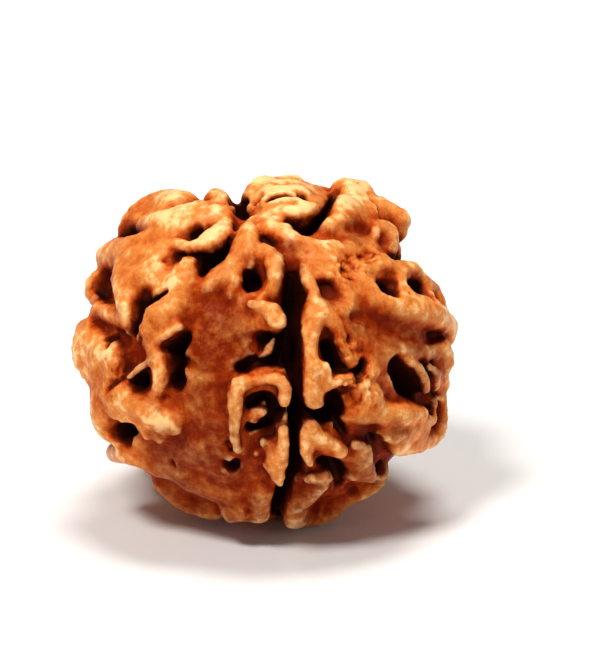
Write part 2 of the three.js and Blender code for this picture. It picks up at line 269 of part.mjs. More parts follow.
// Ridges are the rounded bars of the net.
const ridges = {
  "long left ridge": [
    [-9.4, 6.65, 1.6, 0.33], [-8.4, 6.8, 1.5, 0.34], [-7.5, 7.1, 1.45, 0.42], [-6, 7.55, 1.3, 0.45],
    [-4.5, 8.2, 1.2, 0.48], [-3.1, 8.7, 1, 0.42], [-2.1, 8.85, 0.4, 0.24],
  ],
  "nose": [
    [-2.4, 8.3, 0.5, 0.36], [-2.6, 7.6, 1.1, 0.62], [-3.05, 6.95, 1.35, 0.9], [-4.3, 6.5, 1.2, 0.44],
    [-5.4, 6.55, 1.1, 0.5],
  ],
  "left ring rim": [
    [-10.2, 5, 1.3, 0.4], [-10.9, 4.3, 1.2, 0.42], [-10.95, 3.7, 1.2, 0.4], [-10.55, 3.1, 1.1, 0.38],
    [-10.2, 2.6, 1, 0.45],
  ],
  "front ridge": [
    [-0.9, 8.2, 0.35, 0.2], [-1.1, 7.5, 0.9, 0.58], [-1.15, 6.7, 1.15, 0.83], [-1.05, 6, 1.15, 0.68],
    [-0.95, 5.45, 0.9, 0.4],
  ],
  "front ridge left foot": [
    [-1.6, 6.5, 1, 0.5], [-2.1, 5.4, 0.95, 0.55], [-2.8, 4.6, 0.85, 0.75], [-3.4, 4, 0.75, 0.7],
  ],
  "front ridge inner foot": [[-1.9, 5.2, 0.8, 0.45], [-1.85, 4.4, 0.7, 0.42], [-2.1, 3.6, 0.5, 0.4]],
  "window post": [
    [-0.1, 6.35, 0.9, 0.4], [0.5, 5.7, 1.2, 0.62], [0.6, 4.8, 1.2, 0.56], [0.45, 4.2, 0.9, 0.42],
    [0, 3.65, 0.6, 0.2], [-0.4, 3.3, 0.5, 0.2],
  ],
  "window post foot": [[0.5, 4, 0.6, 0.42], [0.4, 3.4, 0.4, 0.35]],
  "right crest from the hole": [
    [-0.5, 8.2, 0.2, 0.2], [0.2, 7.75, 0.7, 0.55], [0.9, 7.2, 0.9, 0.65], [2.1, 6.8, 0.8, 0.5],
    [3.4, 6.55, 0.8, 0.4], [4.3, 6.6, 0.8, 0.36],
  ],
  "lower band": [[1.9, 5.75, 0.5, 0.34], [3.2, 5.6, 0.7, 0.4], [4.2, 5.5, 0.7, 0.4]],
  "crown petal": [
    [-0.3, 8.5, 0.2, 0.2], [0.9, 8.62, 0.9, 0.52], [1.9, 8.55, 1.1, 0.58], [2.8, 8.85, 1, 0.52],
    [3.55, 9.6, 0.8, 0.42],
  ],
  "crown crest": [
    [-0.5, 8.72, 0.1, 0.12], [0.3, 9.22, 0.95, 0.18], [1.2, 9.45, 1.27, 0.2], [2, 9.4, 1.22, 0.2],
    [2.5, 9.1, 1, 0.18],
  ],
  "crown fold": [
    [-0.6, 8.85, 0.1, 0.1], [-0.2, 9.4, 0.8, 0.14], [0.4, 9.75, 1.12, 0.16], [1.3, 9.85, 1.25, 0.18],
    [1.75, 9.7, 1.2, 0.14],
  ],
  "crown second": [
    [-0.6, 9.1, 0.1, 0.14], [-0.2, 9.8, 0.7, 0.22], [0.5, 10.15, 0.95, 0.28], [1.5, 10.2, 0.95, 0.32],
    [2.5, 9.95, 0.8, 0.36],
  ],
  "crown back": [
    [-1.05, 8.95, 0.3, 0.34], [-0.98, 9.65, 0.75, 0.5], [-0.35, 10.35, 1.3, 0.6],
    [0.7, 10.45, 1.15, 0.5], [1.8, 10.5, 1.35, 0.55], [2.6, 9.85, 0.7, 0.42], [3.6, 9.65, 0.6, 0.34],
  ],
  "hook": [
    [6.75, 7.1, 1, 0.3], [6.95, 7.7, 1.3, 0.38], [7.5, 7.85, 1.4, 0.36], [8, 7.55, 1.4, 0.22],
    [7.95, 6.9, 1.2, 0.2], [7.75, 6.4, 1, 0.18],
  ],
  "below the hook": [[8, 6.4, 0.8, 0.3], [8.15, 5.95, 0.7, 0.34]],
  "brow": [[7.4, 5.4, 0.9, 0.35], [8.2, 5.25, 1.1, 0.42], [9.2, 5.1, 1.3, 0.45], [9.6, 4.6, 1.2, 0.4]],
  "bridge": [[8.4, 4.7, 1.1, 0.34], [8.5, 4.1, 1.2, 0.36], [8.7, 3.5, 1.2, 0.45]],
  "outer bar": [
    [9.85, 4.15, 1.15, 0.42], [10.3, 3.75, 1.3, 0.55], [10.65, 3.2, 1.4, 0.5], [10.9, 2.7, 1.3, 0.35],
  ],
  "pit lip": [
    [8.8, -0.5, 0.7, 0.22], [9.45, -0.95, 0.9, 0.28], [9.8, -1.6, 1, 0.32], [9.9, -2.3, 0.9, 0.3],
  ],
  "side rib one": [[10.1, -0.9, 0.9, 0.22], [10.6, -1.3, 1.1, 0.2], [10.6, -2.2, 1, 0.2]],
  "side rib two": [[11.1, -1.1, 1.2, 0.28], [11.15, -2.1, 1.2, 0.32], [10.8, -2.55, 1, 0.22]],
  "side tooth": [[10.5, -2.85, 0.9, 0.16], [11, -2.9, 1, 0.16]],
  "slot tooth": [[9.9, -4.2, 1.2, 0.2], [10.4, -4.25, 1.3, 0.2]],
  "furrow ridge": [
    [2.4, 5.1, 0.8, 0.42], [2.6, 4.4, 1, 0.46], [2.95, 3.7, 0.9, 0.42], [3, 3, 1, 0.58],
    [3, 2.2, 1.15, 0.87], [2.78, 1.3, 1.1, 0.6], [2.8, 0.3, 1, 0.46], [2.82, -0.6, 1, 0.46],
    [2.8, -1.5, 1.1, 0.52], [2.75, -2.4, 1.1, 0.48], [2.85, -3, 1, 0.46],
  ],
  "furrow ridge arm": [
    [3.5, 2.4, 0.95, 0.55], [4.15, 1.8, 0.8, 0.48], [4.5, 1, 0.65, 0.4], [4.75, 0.3, 0.6, 0.4],
    [5.1, -0.3, 0.6, 0.42], [5.25, -0.7, 0.5, 0.3],
  ],
  "furrow ridge knob": [
    [2.95, -0.95, 1.1, 0.4], [3.6, -0.95, 1.1, 0.38], [3.8, -1.5, 1, 0.36], [3.7, -2.1, 0.9, 0.36],
    [4.4, -1.75, 0.85, 0.42], [5.1, -1.75, 0.85, 0.45],
  ],
  "furrow ridge face": [[3.3, -1.6, 0.75, 0.45]],
  "furrow ridge heel": [[3.2, -2.5, 0.9, 0.34], [3.2, -3, 0.9, 0.36]],
  "dent rim": [[3.2, 4.7, 0.7, 0.45], [4.1, 4.7, 0.85, 0.45], [4.75, 4.1, 0.8, 0.4]],
  "dent sill": [[3.5, 2.85, 0.8, 0.4], [4.3, 2.7, 0.75, 0.45]],
  "fork left": [
    [2.75, -4.45, 0.8, 0.34], [2.5, -5.1, 1, 0.4], [2.5, -6.1, 1, 0.42], [2.75, -6.9, 0.9, 0.22],
  ],
  "fork right": [
    [2.85, -4.7, 0.9, 0.36], [3.4, -5.2, 1, 0.42], [4.1, -5.6, 0.9, 0.4], [4.65, -6.1, 1, 0.46],
  ],
  "low knob": [[2.8, -7.75, 0.95, 0.42], [3.65, -7.75, 1.05, 0.48]],
  "post head": [
    [5.5, -5.7, 0.7, 0.35], [6.2, -6, 0.8, 0.28], [6.4, -7, 0.9, 0.28], [6.65, -7.9, 0.9, 0.25],
  ],
  "post foot": [[5.4, -7.5, 0.8, 0.45], [6.3, -7.7, 0.85, 0.4]],
  "knuckle": [
    [-0.95, 2.98, 0.75, 0.24], [-0.25, 2.8, 0.95, 0.4], [0.4, 2.45, 1.1, 0.62], [0.72, 1.95, 1.1, 0.6],
  ],
  "knuckle root": [[-0.3, 2.3, 0.3, 0.45], [-1.2, 1.9, 0.2, 0.4], [-1.6, 1.3, 0.1, 0.3]],
  "hollow flake": [[-0.35, -0.28, -0.5, 0.12], [0.15, 0.1, -0.15, 0.3], [0.5, 0.8, -0.35, 0.13]],
  "hollow lip": [[-1.5, 1.15, 0.2, 0.12], [-1, 1.5, 0.2, 0.14], [-0.6, 1.75, 0.1, 0.12]],
  "arch left": [
    [-1.65, -1.95, 0.9, 0.45], [-1.9, -2.8, 1, 0.5], [-1.85, -3.8, 0.9, 0.42],
    [-1.95, -4.8, 0.9, 0.34], [-1.8, -5.7, 0.7, 0.28], [-1.7, -6.1, 0.4, 0.2],
  ],
  "arch top": [
    [-1.4, -1.95, 0.75, 0.42], [-0.6, -1.75, 0.4, 0.34], [0.2, -1.6, 0.7, 0.36],
    [0.95, -1.75, 0.95, 0.42], [1.25, -2.3, 1, 0.42], [1.15, -3, 0.9, 0.4],
  ],
  "arch back": [[-0.2, -1.35, 0, 0.26], [0.6, -1.25, 0, 0.26]],
  "inner arm": [[-0.1, -3, -0.6, 0.16], [-0.35, -3.55, -0.3, 0.2], [-0.68, -4.1, 0, 0.26]],
  "spear": [
    [1.1, -4.75, 0.8, 0.32], [1.1, -5.6, 1, 0.38], [0.9, -6.5, 1, 0.52], [0.7, -7.3, 1, 0.55],
    [0.85, -8.1, 0.8, 0.26],
  ],
  "spear shoulder": [
    [-0.1, -5.55, 0.3, 0.3], [0.35, -5.9, 0.6, 0.4], [0.45, -6.5, 0.8, 0.45], [0.2, -6.9, 0.7, 0.36],
  ],
  "floor crumb": [[-0.6, -6.2, 0.1, 0.18]],
  "post": [
    [-7.1, 0.5, 0.6, 0.48], [-6.65, -0.4, 0.95, 0.6], [-6.5, -1.3, 1, 0.52], [-6.6, -2.1, 0.9, 0.44],
    [-6.8, -2.6, 0.7, 0.4],
  ],
  "pit roof": [[-8.45, -1.5, 0.95, 0.18], [-7.8, -0.95, 0.9, 0.2], [-7.2, -0.6, 0.8, 0.2]],
  "hole rim": [
    [-8.9, -4.2, 1.3, 0.16], [-8.3, -4.15, 1.3, 0.16], [-7.7, -4.5, 1.2, 0.16],
    [-7.45, -5.2, 0.9, 0.14],
  ],
  "hole tooth": [[-8, -5.4, 0.7, 0.22], [-8, -5.8, 0.8, 0.25]],
  "pit lip left": [[-6.6, 0.75, 0.8, 0.28], [-6, 1.2, 0.9, 0.26], [-5.4, 1.65, 0.8, 0.3]],};

// Strokes laid round the poles by longitude (0 right, 90 back, -90 front) and latitude, then
// crest or floor height and half width.
const poleLobes = {
  "foot": [[-150, -80, 1, 2], [-30, -80, 1, 2], [90, -78, 1, 2]],
  "foot ring": [[-170, -66, 0.6, 1.4], [120, -64, 0.7, 1.4], [50, -64, 0.7, 1.4], [-15, -66, 0.6, 1.4]],
};
const poleHollows = {
  "furrow to the lower hole": [[-84, -68, -0.2, 0.24], [-70, -76, 0, 0.26], [-20, -80, 0, 0.3]],
  "cleft behind the hole": [
    [152, 77, -1.1, 0.3], [133, 73, -1.1, 0.3], [120, 68, -1.1, 0.3], [113, 62, -1.1, 0.32],
    [109, 56, -1.1, 0.32], [106, 48, -0.9, 0.3], [104, 40, -0.4, 0.3],
  ],
  "cleft behind the left knob": [[133, 60, -0.6, 0.24], [128, 50, -0.5, 0.26], [130, 38, -0.3, 0.24]],
  "cleft behind the crown": [[52, 62, -0.4, 0.24], [62, 52, -0.7, 0.28], [60, 40, -0.5, 0.28]],
};

// The far side and the underside, which carry the same net by rule: strokes spread evenly,
// each a short winding walk, low where the far side starts and full further back.
const farSide = {
  seed: 71,
  lobes: { count: 30, crest: [0.7, 1.5], width: [1, 1.6], steps: 2, stride: 1.6 },
  hollows: { count: 64, floor: [-1.5, -0.5], width: [0.26, 0.5], steps: 2, stride: 0.9 },
  ridges: { count: 58, crest: [0.9, 1.6], width: [0.4, 0.7], steps: 5, stride: 1.25 },
  placesPerStroke: 3,
  scatter: 25,
  firstDepth: 1.5,
  fullDepth: 4,
  lowestLevel: -0.93,
  plainWay: { longitude: 118, latitude: 60, span: 0.04 },
  edgeWidthShare: 0.75,
  edgeCrestShare: 0.4,
  turn: 0.9,
  eastPull: 0.6,
};

// Lengths used in the working: how close corners are merged, a guard at the poles, a single
// point's length, how long a bar of a stroke is, and how far past a stroke it still has effect.
const weldLength = 1e-5;
const poleGuard = 0.001;
const dotLength = 0.01;
const barLength = 0.5;
const effectMargin = 2;
const farAway = 9;

// Vector helpers on plain triples.
const add = (a, b, scale = 1) => [a[0] + b[0] * scale, a[1] + b[1] * scale, a[2] + b[2] * scale];
const dot = (a, b) => a[0] * b[0] + a[1] * b[1] + a[2] * b[2];
const cross = (a, b) => [
  a[1] * b[2] - a[2] * b[1],
  a[2] * b[0] - a[0] * b[2],
  a[0] * b[1] - a[1] * b[0],
];
const size = (a) => Math.sqrt(dot(a, a));
const scaled = (a, scale) => [a[0] * scale, a[1] * scale, a[2] * scale];
const unit = (a) => scaled(a, 1 / size(a));
const clamp = (value, low, high) => Math.min(Math.max(value, low), high);

// The view's three directions: across, up and toward the eye.
const sine = Math.sin(THREE.MathUtils.degToRad(viewElevation));
const cosine = Math.cos(THREE.MathUtils.degToRad(viewElevation));
const upWay = [0, sine, cosine];
const towardWay = [0, -cosine, sine];

// Two directions along the surface, east and north, where a direction from the middle meets it.
function alongSurface(way) {
  const east = unit([-way[1], way[0], poleGuard]);
  return { east, north: cross(way, east) };
}

function wayAt(longitude, latitude) {
  const around = THREE.MathUtils.degToRad(longitude);
  const above = THREE.MathUtils.degToRad(latitude);
  return [Math.cos(above) * Math.cos(around), Math.cos(above) * Math.sin(around), Math.sin(above)];
}

// A repeatable draw from 0 to 1.
function makeDraw(seed) {
  const modulus = 2147483647;
  let state = seed * 7919 + 12345;
  return () => {
    state = (state * 16807) % modulus;
    return state / modulus;
  };
}

function between(draw, range) {
  return range[0] + (range[1] - range[0]) * draw();
}

// Crossing waves that make a smooth bumpy value of about the swell's height either way.
function makeWaves(swell) {
  const waveCount = 7;
  const draw = makeDraw(swell.seed);
  const waves = [];
  for (let i = 0; i < waveCount; i += 1) {
    const level = 2 * draw() - 1;
    const turn = 2 * Math.PI * draw();
    const flat = Math.sqrt(1 - level * level);
    const way = [flat * Math.cos(turn), flat * Math.sin(turn), level];
    const pace = (2 * Math.PI / swell.wavelength) * between(draw, [0.7, 1.4]);
    const start = 2 * Math.PI * draw();
    waves.push({ way, pace, start });
  }
  return (p) => {
    const sum = waves.reduce((total, w) => total + Math.sin(dot(p, w.way) * w.pace + w.start), 0);
    return (swell.height * sum) / Math.sqrt(waveCount);
  };
}

const broadWaves = makeWaves(broadSwell);
const fineWaves = makeWaves(fineSwell);

// Distance to the round body with its low swellings, negative inside.
function coreDistance(p) {
  const outer = size([p[0] / bodyWide, p[1] / bodyWide, p[2] / bodyTall]);
  const slope = size([p[0] / bodyWide ** 2, p[1] / bodyWide ** 2, p[2] / bodyTall ** 2]);
  return (outer * (outer - 1)) / slope - broadWaves(p) - fineWaves(p);
}

// The centre's distance to the body's surface along a direction.
function bodyRadius(way) {
  return 1 / size([way[0] / bodyWide, way[1] / bodyWide, way[2] / bodyTall]);
}

// The point above the body by a height, along a direction.
function raisedPoint(way, height) {
  return scaled(way, bodyRadius(way) + height);
}

// The point of the body, raised by level, that shows at across, up.
function seen(across, up, level) {
  const wide = (bodyWide + level) ** 2;
  const tall = (bodyTall + level) ** 2;
  const a = cosine ** 2 / wide + sine ** 2 / tall;
  const b = 2 * up * sine * cosine * (1 / tall - 1 / wide);
  const c = across ** 2 / wide + up ** 2 * (sine ** 2 / wide + cosine ** 2 / tall) - 1;
  const depth = (-b + Math.sqrt(Math.max(b * b - 4 * a * c, 0))) / (2 * a);
  return viewPoint(across, up, depth);
}

function viewPoint(across, up, depth) {
  return add(add([across, 0, 0], upWay, up), towardWay, depth);
}

// Blends two distances where they meet.
function smoothLeast(a, b, blend) {
  const near = Math.max(blend - Math.abs(a - b), 0) / blend;
  return Math.min(a, b) - (near * near * blend) / 4;
}

// Distance to one tapered round bar, its section carried on inward for what stands up and
// outward for a hollow.
function barDistance(p, bar, inward, neck) {
  const along = clamp(dot(add(p, bar.from, -1), bar.pace), 0, 1);
  const spot = add(bar.from, bar.run, along);
  const gap = add(p, spot, -1);
  const depth = dot(gap, spot) / size(spot);
  const past = Math.max(inward ? -depth : depth, 0);
  const radius = bar.startWidth + (bar.endWidth - bar.startWidth) * along;
  const lateral = Math.sqrt(Math.max(dot(gap, gap) - past * past, 0));
  const widened = inward ? -radius * neck * clamp(past / radius, 0, 1) : hollowFlare * past;
  return lateral - radius - widened;
}

// A smooth curve through points with widths, cut into short bars.
function makeStroke(knots) {
  const path = knots.map((knot) => new THREE.Vector4(...knot.at, knot.width));
  const fine = [];
  for (let i = 0; i + 1 < path.length; i += 1) {
    const before = path[i - 1] ?? path[i].clone().multiplyScalar(2).sub(path[i + 1]);
    const after = path[i + 2] ?? path[i + 1].clone().multiplyScalar(2).sub(path[i]);
    const reach = size(add(knots[i + 1].at, knots[i].at, -1));
    const count = path.length === 2 ? 1 : Math.max(1, Math.round(reach / barLength));
    for (let j = 0; j < count; j += 1) {
      fine.push(curvePoint(before, path[i], path[i + 1], after, j / count));
    }
  }
  fine.push(path[path.length - 1]);
  if (fine.length === 1) {
    fine.push(path[0].clone().addScalar(dotLength));
  }
  return fine.slice(1).map((end, i) => makeBar(fine[i], end));
}

// A point of a Catmull-Rom curve, its width in w.
function curvePoint(before, start, end, after, t) {
  const leastWidth = 0.05;
  const pull = (key) => 0.5 * (2 * start[key] + (end[key] - before[key]) * t
    + (2 * before[key] - 5 * start[key] + 4 * end[key] - after[key]) * t * t
    + (3 * start[key] - before[key] - 3 * end[key] + after[key]) * t * t * t);
  return new THREE.Vector4(pull("x"), pull("y"), pull("z"), Math.max(pull("w"), leastWidth));
}

// A bar keeps the pace along it, measured level with the surface, which a steep bar slows.
function makeBar(start, end) {
  const steepShare = 0.02;
  const from = [start.x, start.y, start.z];
  const run = add([end.x, end.y, end.z], from, -1);
  const outward = unit(add(from, run, 0.5));
  const level = add(run, outward, -dot(run, outward));
  return {
    from,
    run,
    pace: scaled(level, 1 / (dot(level, level) + steepShare * dot(run, run))),
    outward,
    startWidth: start.w,
    endWidth: end.w,
    reach: size(run) / 2,
  };
}

// The least distance to a stroke, skipping bars that point well away from p.
function strokeDistance(p, way, stroke, inward, neck) {
  let least = farAway;
  for (const bar of stroke) {
    const facing = dot(way, bar.outward);
    const sideways = size(p) * Math.sqrt(Math.max(1 - facing * facing, 0));
    if (facing > 0 && sideways < bar.reach + bar.startWidth + bar.endWidth + effectMargin) {
      least = Math.min(least, barDistance(p, bar, inward, neck));
    }
  }
  return least;
}

function raisedStroke(points) {
  const knots = points.map(([across, up, crest, width]) => {
    return { at: seen(across, up, crest - width), width };
  });
  return makeStroke(knots);
}

function poleStroke(points, hollow) {
  const knots = points.map(([longitude, latitude, level, width]) => {
    const height = hollow ? level + width : level - width;
    return { at: raisedPoint(wayAt(longitude, latitude), height), width };
  });
  return makeStroke(knots);
}

// The strokes of one kind on the far side.
function farStrokes(rule, draw, hollow) {
  const goldenTurn = 137.508;
  const places = farSide.placesPerStroke * rule.count;
  const strokes = [];
  for (let i = 0; i < places; i += 1) {
    const latitude = THREE.MathUtils.radToDeg(Math.asin(1 - (2 * i + 1) / places));
    const way = wayAt(i * goldenTurn + farSide.scatter * draw(), latitude);
    const knots = farWalk(rule, draw, way, hollow);
    if (knots.length > 1) {
      strokes.push(makeStroke(knots));
    }
  }
  return strokes;
}

function farWalk(rule, draw, start, hollow) {
  let way = start;
  let heading = 2 * Math.PI * draw();
  const level = between(draw, hollow ? rule.floor : rule.crest);
  const width = between(draw, rule.width);
  const knots = [];
  for (let step = 0; step < rule.steps; step += 1) {
    const share = farShare(way);
    if (share > 0 && way[2] > farSide.lowestLevel) {
      knots.push(farKnot(way, level, width, share, hollow));
    }
    const { east, north } = alongSurface(way);
    const ahead = add(scaled(east, farSide.eastPull * Math.cos(heading)), north, Math.sin(heading));
    way = unit(add(way, ahead, rule.stride / bodyRadius(way)));
    heading += farSide.turn * (2 * draw() - 1);
  }
  return knots;
}

// How much of the far side's relief a direction carries, by how deep behind the middle it is,
// and none just behind the hole.
function farShare(way) {
  const plain = farSide.plainWay;
  const aside = 1 - dot(way, wayAt(plain.longitude, plain.latitude));
  const depth = -dot(way, towardWay) * bodyRadius(way);
  const share = clamp((depth - farSide.firstDepth) / (farSide.fullDepth - farSide.firstDepth), 0, 1);
  return share * clamp(aside / plain.span - 1, 0, 1);
}

function farKnot(way, level, width, share, hollow) {
  const taper = farSide.edgeWidthShare + (1 - farSide.edgeWidthShare) * share;
  const crestShare = farSide.edgeCrestShare + (1 - farSide.edgeCrestShare) * share;
  const height = hollow ? level * share + width : level * crestShare - width * taper;
  return { at: raisedPoint(way, height), width: width * taper };
}

const farDraw = makeDraw(farSide.seed);
const lobeStrokes = [
  ...Object.values(lobes).map(raisedStroke),
  ...Object.values(poleLobes).map((points) => poleStroke(points, false)),
  ...farStrokes(farSide.lobes, farDraw, false),
];

// Distance to the lobed body, before hollows and ridges.
function lobedDistance(p) {
  const way = unit(p);
  const join = (so, stroke) => smoothLeast(so, strokeDistance(p, way, stroke, true, 0), lobeBlend);
  return lobeStrokes.reduce(join, coreDistance(p));
}

// Where the view at across, up first meets the lobed body.
function mouthAt(across, up) {
  const firstDepth = 13;
  const lastDepth = -3;
  const step = 0.1;
  const usualLevel = 0.5;
  for (let depth = firstDepth; depth > lastDepth; depth -= step) {
    const p = viewPoint(across, up, depth);
    if (lobedDistance(p) < 0) {
      return p;
    }
  }
  return seen(across, up, usualLevel);
}

// A hollow shows at its mouth and goes down from there towards the middle.
function hollowStroke(points) {
  const knots = points.map(([across, up, floor, width]) => {
    return { at: raisedPoint(unit(mouthAt(across, up)), floor + width), width };
  });
  return makeStroke(knots);
}

const hollowStrokes = [
  ...Object.values(hollows).map(hollowStroke),
  ...Object.values(poleHollows).map((points) => poleStroke(points, true)),
  ...farStrokes(farSide.hollows, farDraw, true),
];
const ridgeStrokes = [
  ...Object.values(ridges).map(raisedStroke),
  ...farStrokes(farSide.ridges, farDraw, false),
];

// The strokes of each kind: whether they stand up, how they blend, and their neck.
const strokeKinds = [
  { strokes: lobeStrokes, raised: true, blend: lobeBlend, neck: 0 },
  { strokes: hollowStrokes, raised: false, blend: hollowBlend, neck: 0 },
  { strokes: ridgeStrokes, raised: true, blend: ridgeBlend, neck: ridgeNeck },
];

// The even grid on which the form is measured.
const gridCount = Math.round((2 * gridHalf) / gridPitch) + 1;
const gridNumber = (i, j, k) => (i * gridCount + j) * gridCount + k;
const gridPoint = (i, j, k) => [i * gridPitch - gridHalf, j * gridPitch - gridHalf, k * gridPitch - gridHalf];

function eachGridPoint(first, last, visit) {
  for (let i = first[0]; i <= last[0]; i += 1) {
    for (let j = first[1]; j <= last[1]; j += 1) {
      for (let k = first[2]; k <= last[2]; k += 1) {
        visit(gridNumber(i, j, k), gridPoint(i, j, k));
      }
    }
  }
}

// The grid steps between which a stroke can change the form.
function strokeSpan(stroke, kind) {
  const inwardReach = 4;
  const outwardReach = 4.5;
  const boxMargin = 0.2;
  const shift = kind.raised ? -inwardReach : outwardReach;
  const box = new THREE.Box3();
  let widest = 0;
  for (const bar of stroke) {
    const to = add(bar.from, bar.run);
    for (const corner of [bar.from, to, add(bar.from, bar.outward, shift), add(to, bar.outward, shift)]) {
      box.expandByPoint(new THREE.Vector3(...corner));
    }
    widest = Math.max(widest, bar.startWidth, bar.endWidth);
  }
  box.expandByScalar(widest + kind.blend + boxMargin + (kind.raised ? 0 : hollowFlare * outwardReach));
  const stepAt = (length) => clamp(Math.round((length + gridHalf) / gridPitch), 0, gridCount - 1);
  return { first: box.min.toArray().map(stepAt), last: box.max.toArray().map(stepAt) };
}

function joinStroke(form, stroke, kind) {
  const innermost = 6;
  const { first, last } = strokeSpan(stroke, kind);
  eachGridPoint(first, last, (number, p) => {
    if (size(p) > innermost) {
      const gap = strokeDistance(p, unit(p), stroke, kind.raised, kind.neck);
      const sign = kind.raised ? 1 : -1;
      form[number] = sign * smoothLeast(sign * form[number], gap, kind.blend);
    }
  });
}

// The distance to the bead at every grid point, negative inside, cut off at the flat spot.
function measureForm() {
  const form = new Float64Array(gridCount ** 3);
  const first = [0, 0, 0];
  const last = first.map(() => gridCount - 1);
  eachGridPoint(first, last, (number, p) => {
    form[number] = coreDistance(p);
  });
  for (const kind of strokeKinds) {
    kind.strokes.forEach((stroke) => joinStroke(form, stroke, kind));
  }
  eachGridPoint(first, last, (number, p) => {
    form[number] = Math.max(form[number], -flatSpotDepth - p[2]);
  });
  return form;
}

// A grid cell is cut into six four-cornered pieces, all turned the same way. A cell's corners
// are numbered 0 to 7: one for a step along X, two along Y and four along Z.
const cellPieces = [
  [0, 1, 3, 7], [0, 2, 6, 7], [0, 4, 5, 7],
  [0, 2, 7, 3], [0, 1, 7, 5], [0, 4, 7, 6],
];

// For each set of a piece's corners that can be inside, written as a sum of 1, 2, 4 and 8, the
// corners in an order that begins with them and keeps the piece's turn.
const pieceOrders = {
  1: [0, 1, 2, 3],
  2: [1, 0, 3, 2],
  4: [2, 0, 1, 3],
  8: [3, 0, 2, 1],
  3: [0, 1, 2, 3],
  5: [0, 2, 3, 1],
  9: [0, 3, 1, 2],
  6: [1, 2, 0, 3],
  10: [1, 3, 2, 0],
  12: [2, 3, 0, 1],
};

// The edges of one piece that the surface crosses, as triangles with their fronts outward.
function pieceTriangles(inside) {
  const all = 15;
  const code = inside.reduce((sum, within, i) => sum + (within ? 2 ** i : 0), 0);
  if (code === 0 || code === all) {
    return [];
  }
  const [a, b, c, d] = pieceOrders[code] ?? pieceOrders[all - code];
  if (inside.filter(Boolean).length === 2) {
    return [[[a, c], [a, d], [b, d]], [[a, c], [b, d], [b, c]]];
  }
  return pieceOrders[code] ? [[[a, b], [a, c], [a, d]]] : [[[a, b], [a, d], [a, c]]];
}

// The net of triangles where the form changes sign: places of its corners, and corner numbers
// of its triangles.
function drawNet(form) {
  const places = [];
  const triangles = [];
  const made = new Map();
  const crossing = (one, two) => {
    const least = 0.05;
    const [a, b] = one.number < two.number ? [one, two] : [two, one];
    const key = a.number * form.length + b.number;
    if (!made.has(key)) {
      const share = clamp(a.value / (a.value - b.value), least, 1 - least);
      made.set(key, places.length);
      places.push(add(a.at, add(b.at, a.at, -1), share));
    }
    return made.get(key);
  };
  const cornerOf = (i, j, k) => {
    const number = gridNumber(i, j, k);
    return { number, value: form[number], at: gridPoint(i, j, k) };
  };
  const lastCell = gridCount - 1;
  for (let i = 0; i < lastCell; i += 1) {
    for (let j = 0; j < lastCell; j += 1) {
      for (let k = 0; k < lastCell; k += 1) {
        const steps = [0, 1, 2, 3, 4, 5, 6, 7].map((n) => [i + (n & 1), j + ((n >> 1) & 1), k + (n >> 2)]);
        const within = steps.map((step) => form[gridNumber(...step)] < 0);
        if (within.some((here) => here !== within[0])) {
          const cell = steps.map((step) => cornerOf(...step));
          for (const piece of cellPieces) {
            const cut = pieceTriangles(piece.map((n) => within[n]));
            const pairs = cut.map((edges) => edges.map(([a, b]) => crossing(cell[piece[a]], cell[piece[b]])));
            triangles.push(...pairs);
          }
        }
      }
    }
  }
  return { places, triangles };
}

// Leaves out crumbs and closed hollows: only the largest joined net is kept.
function largestNet({ places, triangles }) {
  const leader = places.map((_, i) => i);
  const leaderOf = (i) => {
    let at = i;
    while (leader[at] !== at) {
      leader[at] = leader[leader[at]];
      at = leader[at];
    }
    return at;
  };
  for (const [a, b, c] of triangles) {
    leader[leaderOf(b)] = leaderOf(a);
    leader[leaderOf(c)] = leaderOf(a);
  }
  const counts = new Map();
  for (const [a] of triangles) {
    counts.set(leaderOf(a), (counts.get(leaderOf(a)) ?? 0) + 1);
  }
  const largest = [...counts.entries()].sort((one, two) => two[1] - one[1])[0][0];
  return { places, triangles: triangles.filter(([a]) => leaderOf(a) === largest) };
}

// A heap that gives back its cheapest entry first.
class CheapestFirst {
  constructor() {
    this.entries = [];
  }

  push(entry) {
    const { entries } = this;
    let at = entries.push(entry) - 1;
    while (at > 0) {
      const above = (at - 1) >> 1;
      if (entries[above].cost <= entry.cost) {
        break;
      }
      entries[at] = entries[above];
      at = above;
    }
    entries[at] = entry;
  }

  pop() {
    const { entries } = this;
    const first = entries[0];
    const moved = entries.pop();
    if (entries.length > 0) {
      let at = 0;
      for (;;) {
        let below = 2 * at + 1;
        if (below >= entries.length) {
          break;
        }
        if (below + 1 < entries.length && entries[below + 1].cost < entries[below].cost) {
          below += 1;
        }
        if (entries[below].cost >= moved.cost) {
          break;
        }
        entries[at] = entries[below];
        at = below;
      }
      entries[at] = moved;
    }
    return first;
  }
}

const planeOf = (a, b, c) => cross(add(b, a, -1), add(c, a, -1));

// Ten sums that give how far, squared and weighed by area, a point is from the planes of some
// triangles.
function planeSums(a, b, c) {
  const across = planeOf(a, b, c);
  const twiceArea = size(across);
  const [x, y, z] = scaled(across, 1 / Math.max(twiceArea, 1e-12));
  const w = -dot([x, y, z], a);
  return [x * x, x * y, x * z, x * w, y * y, y * z, y * w, z * z, z * w, w * w].map((n) => n * twiceArea);
}

function planeError(q, [x, y, z]) {
  return q[0] * x * x + 2 * q[1] * x * y + 2 * q[2] * x * z + 2 * q[3] * x
    + q[4] * y * y + 2 * q[5] * y * z + 2 * q[6] * y + q[7] * z * z + 2 * q[8] * z + q[9];
}

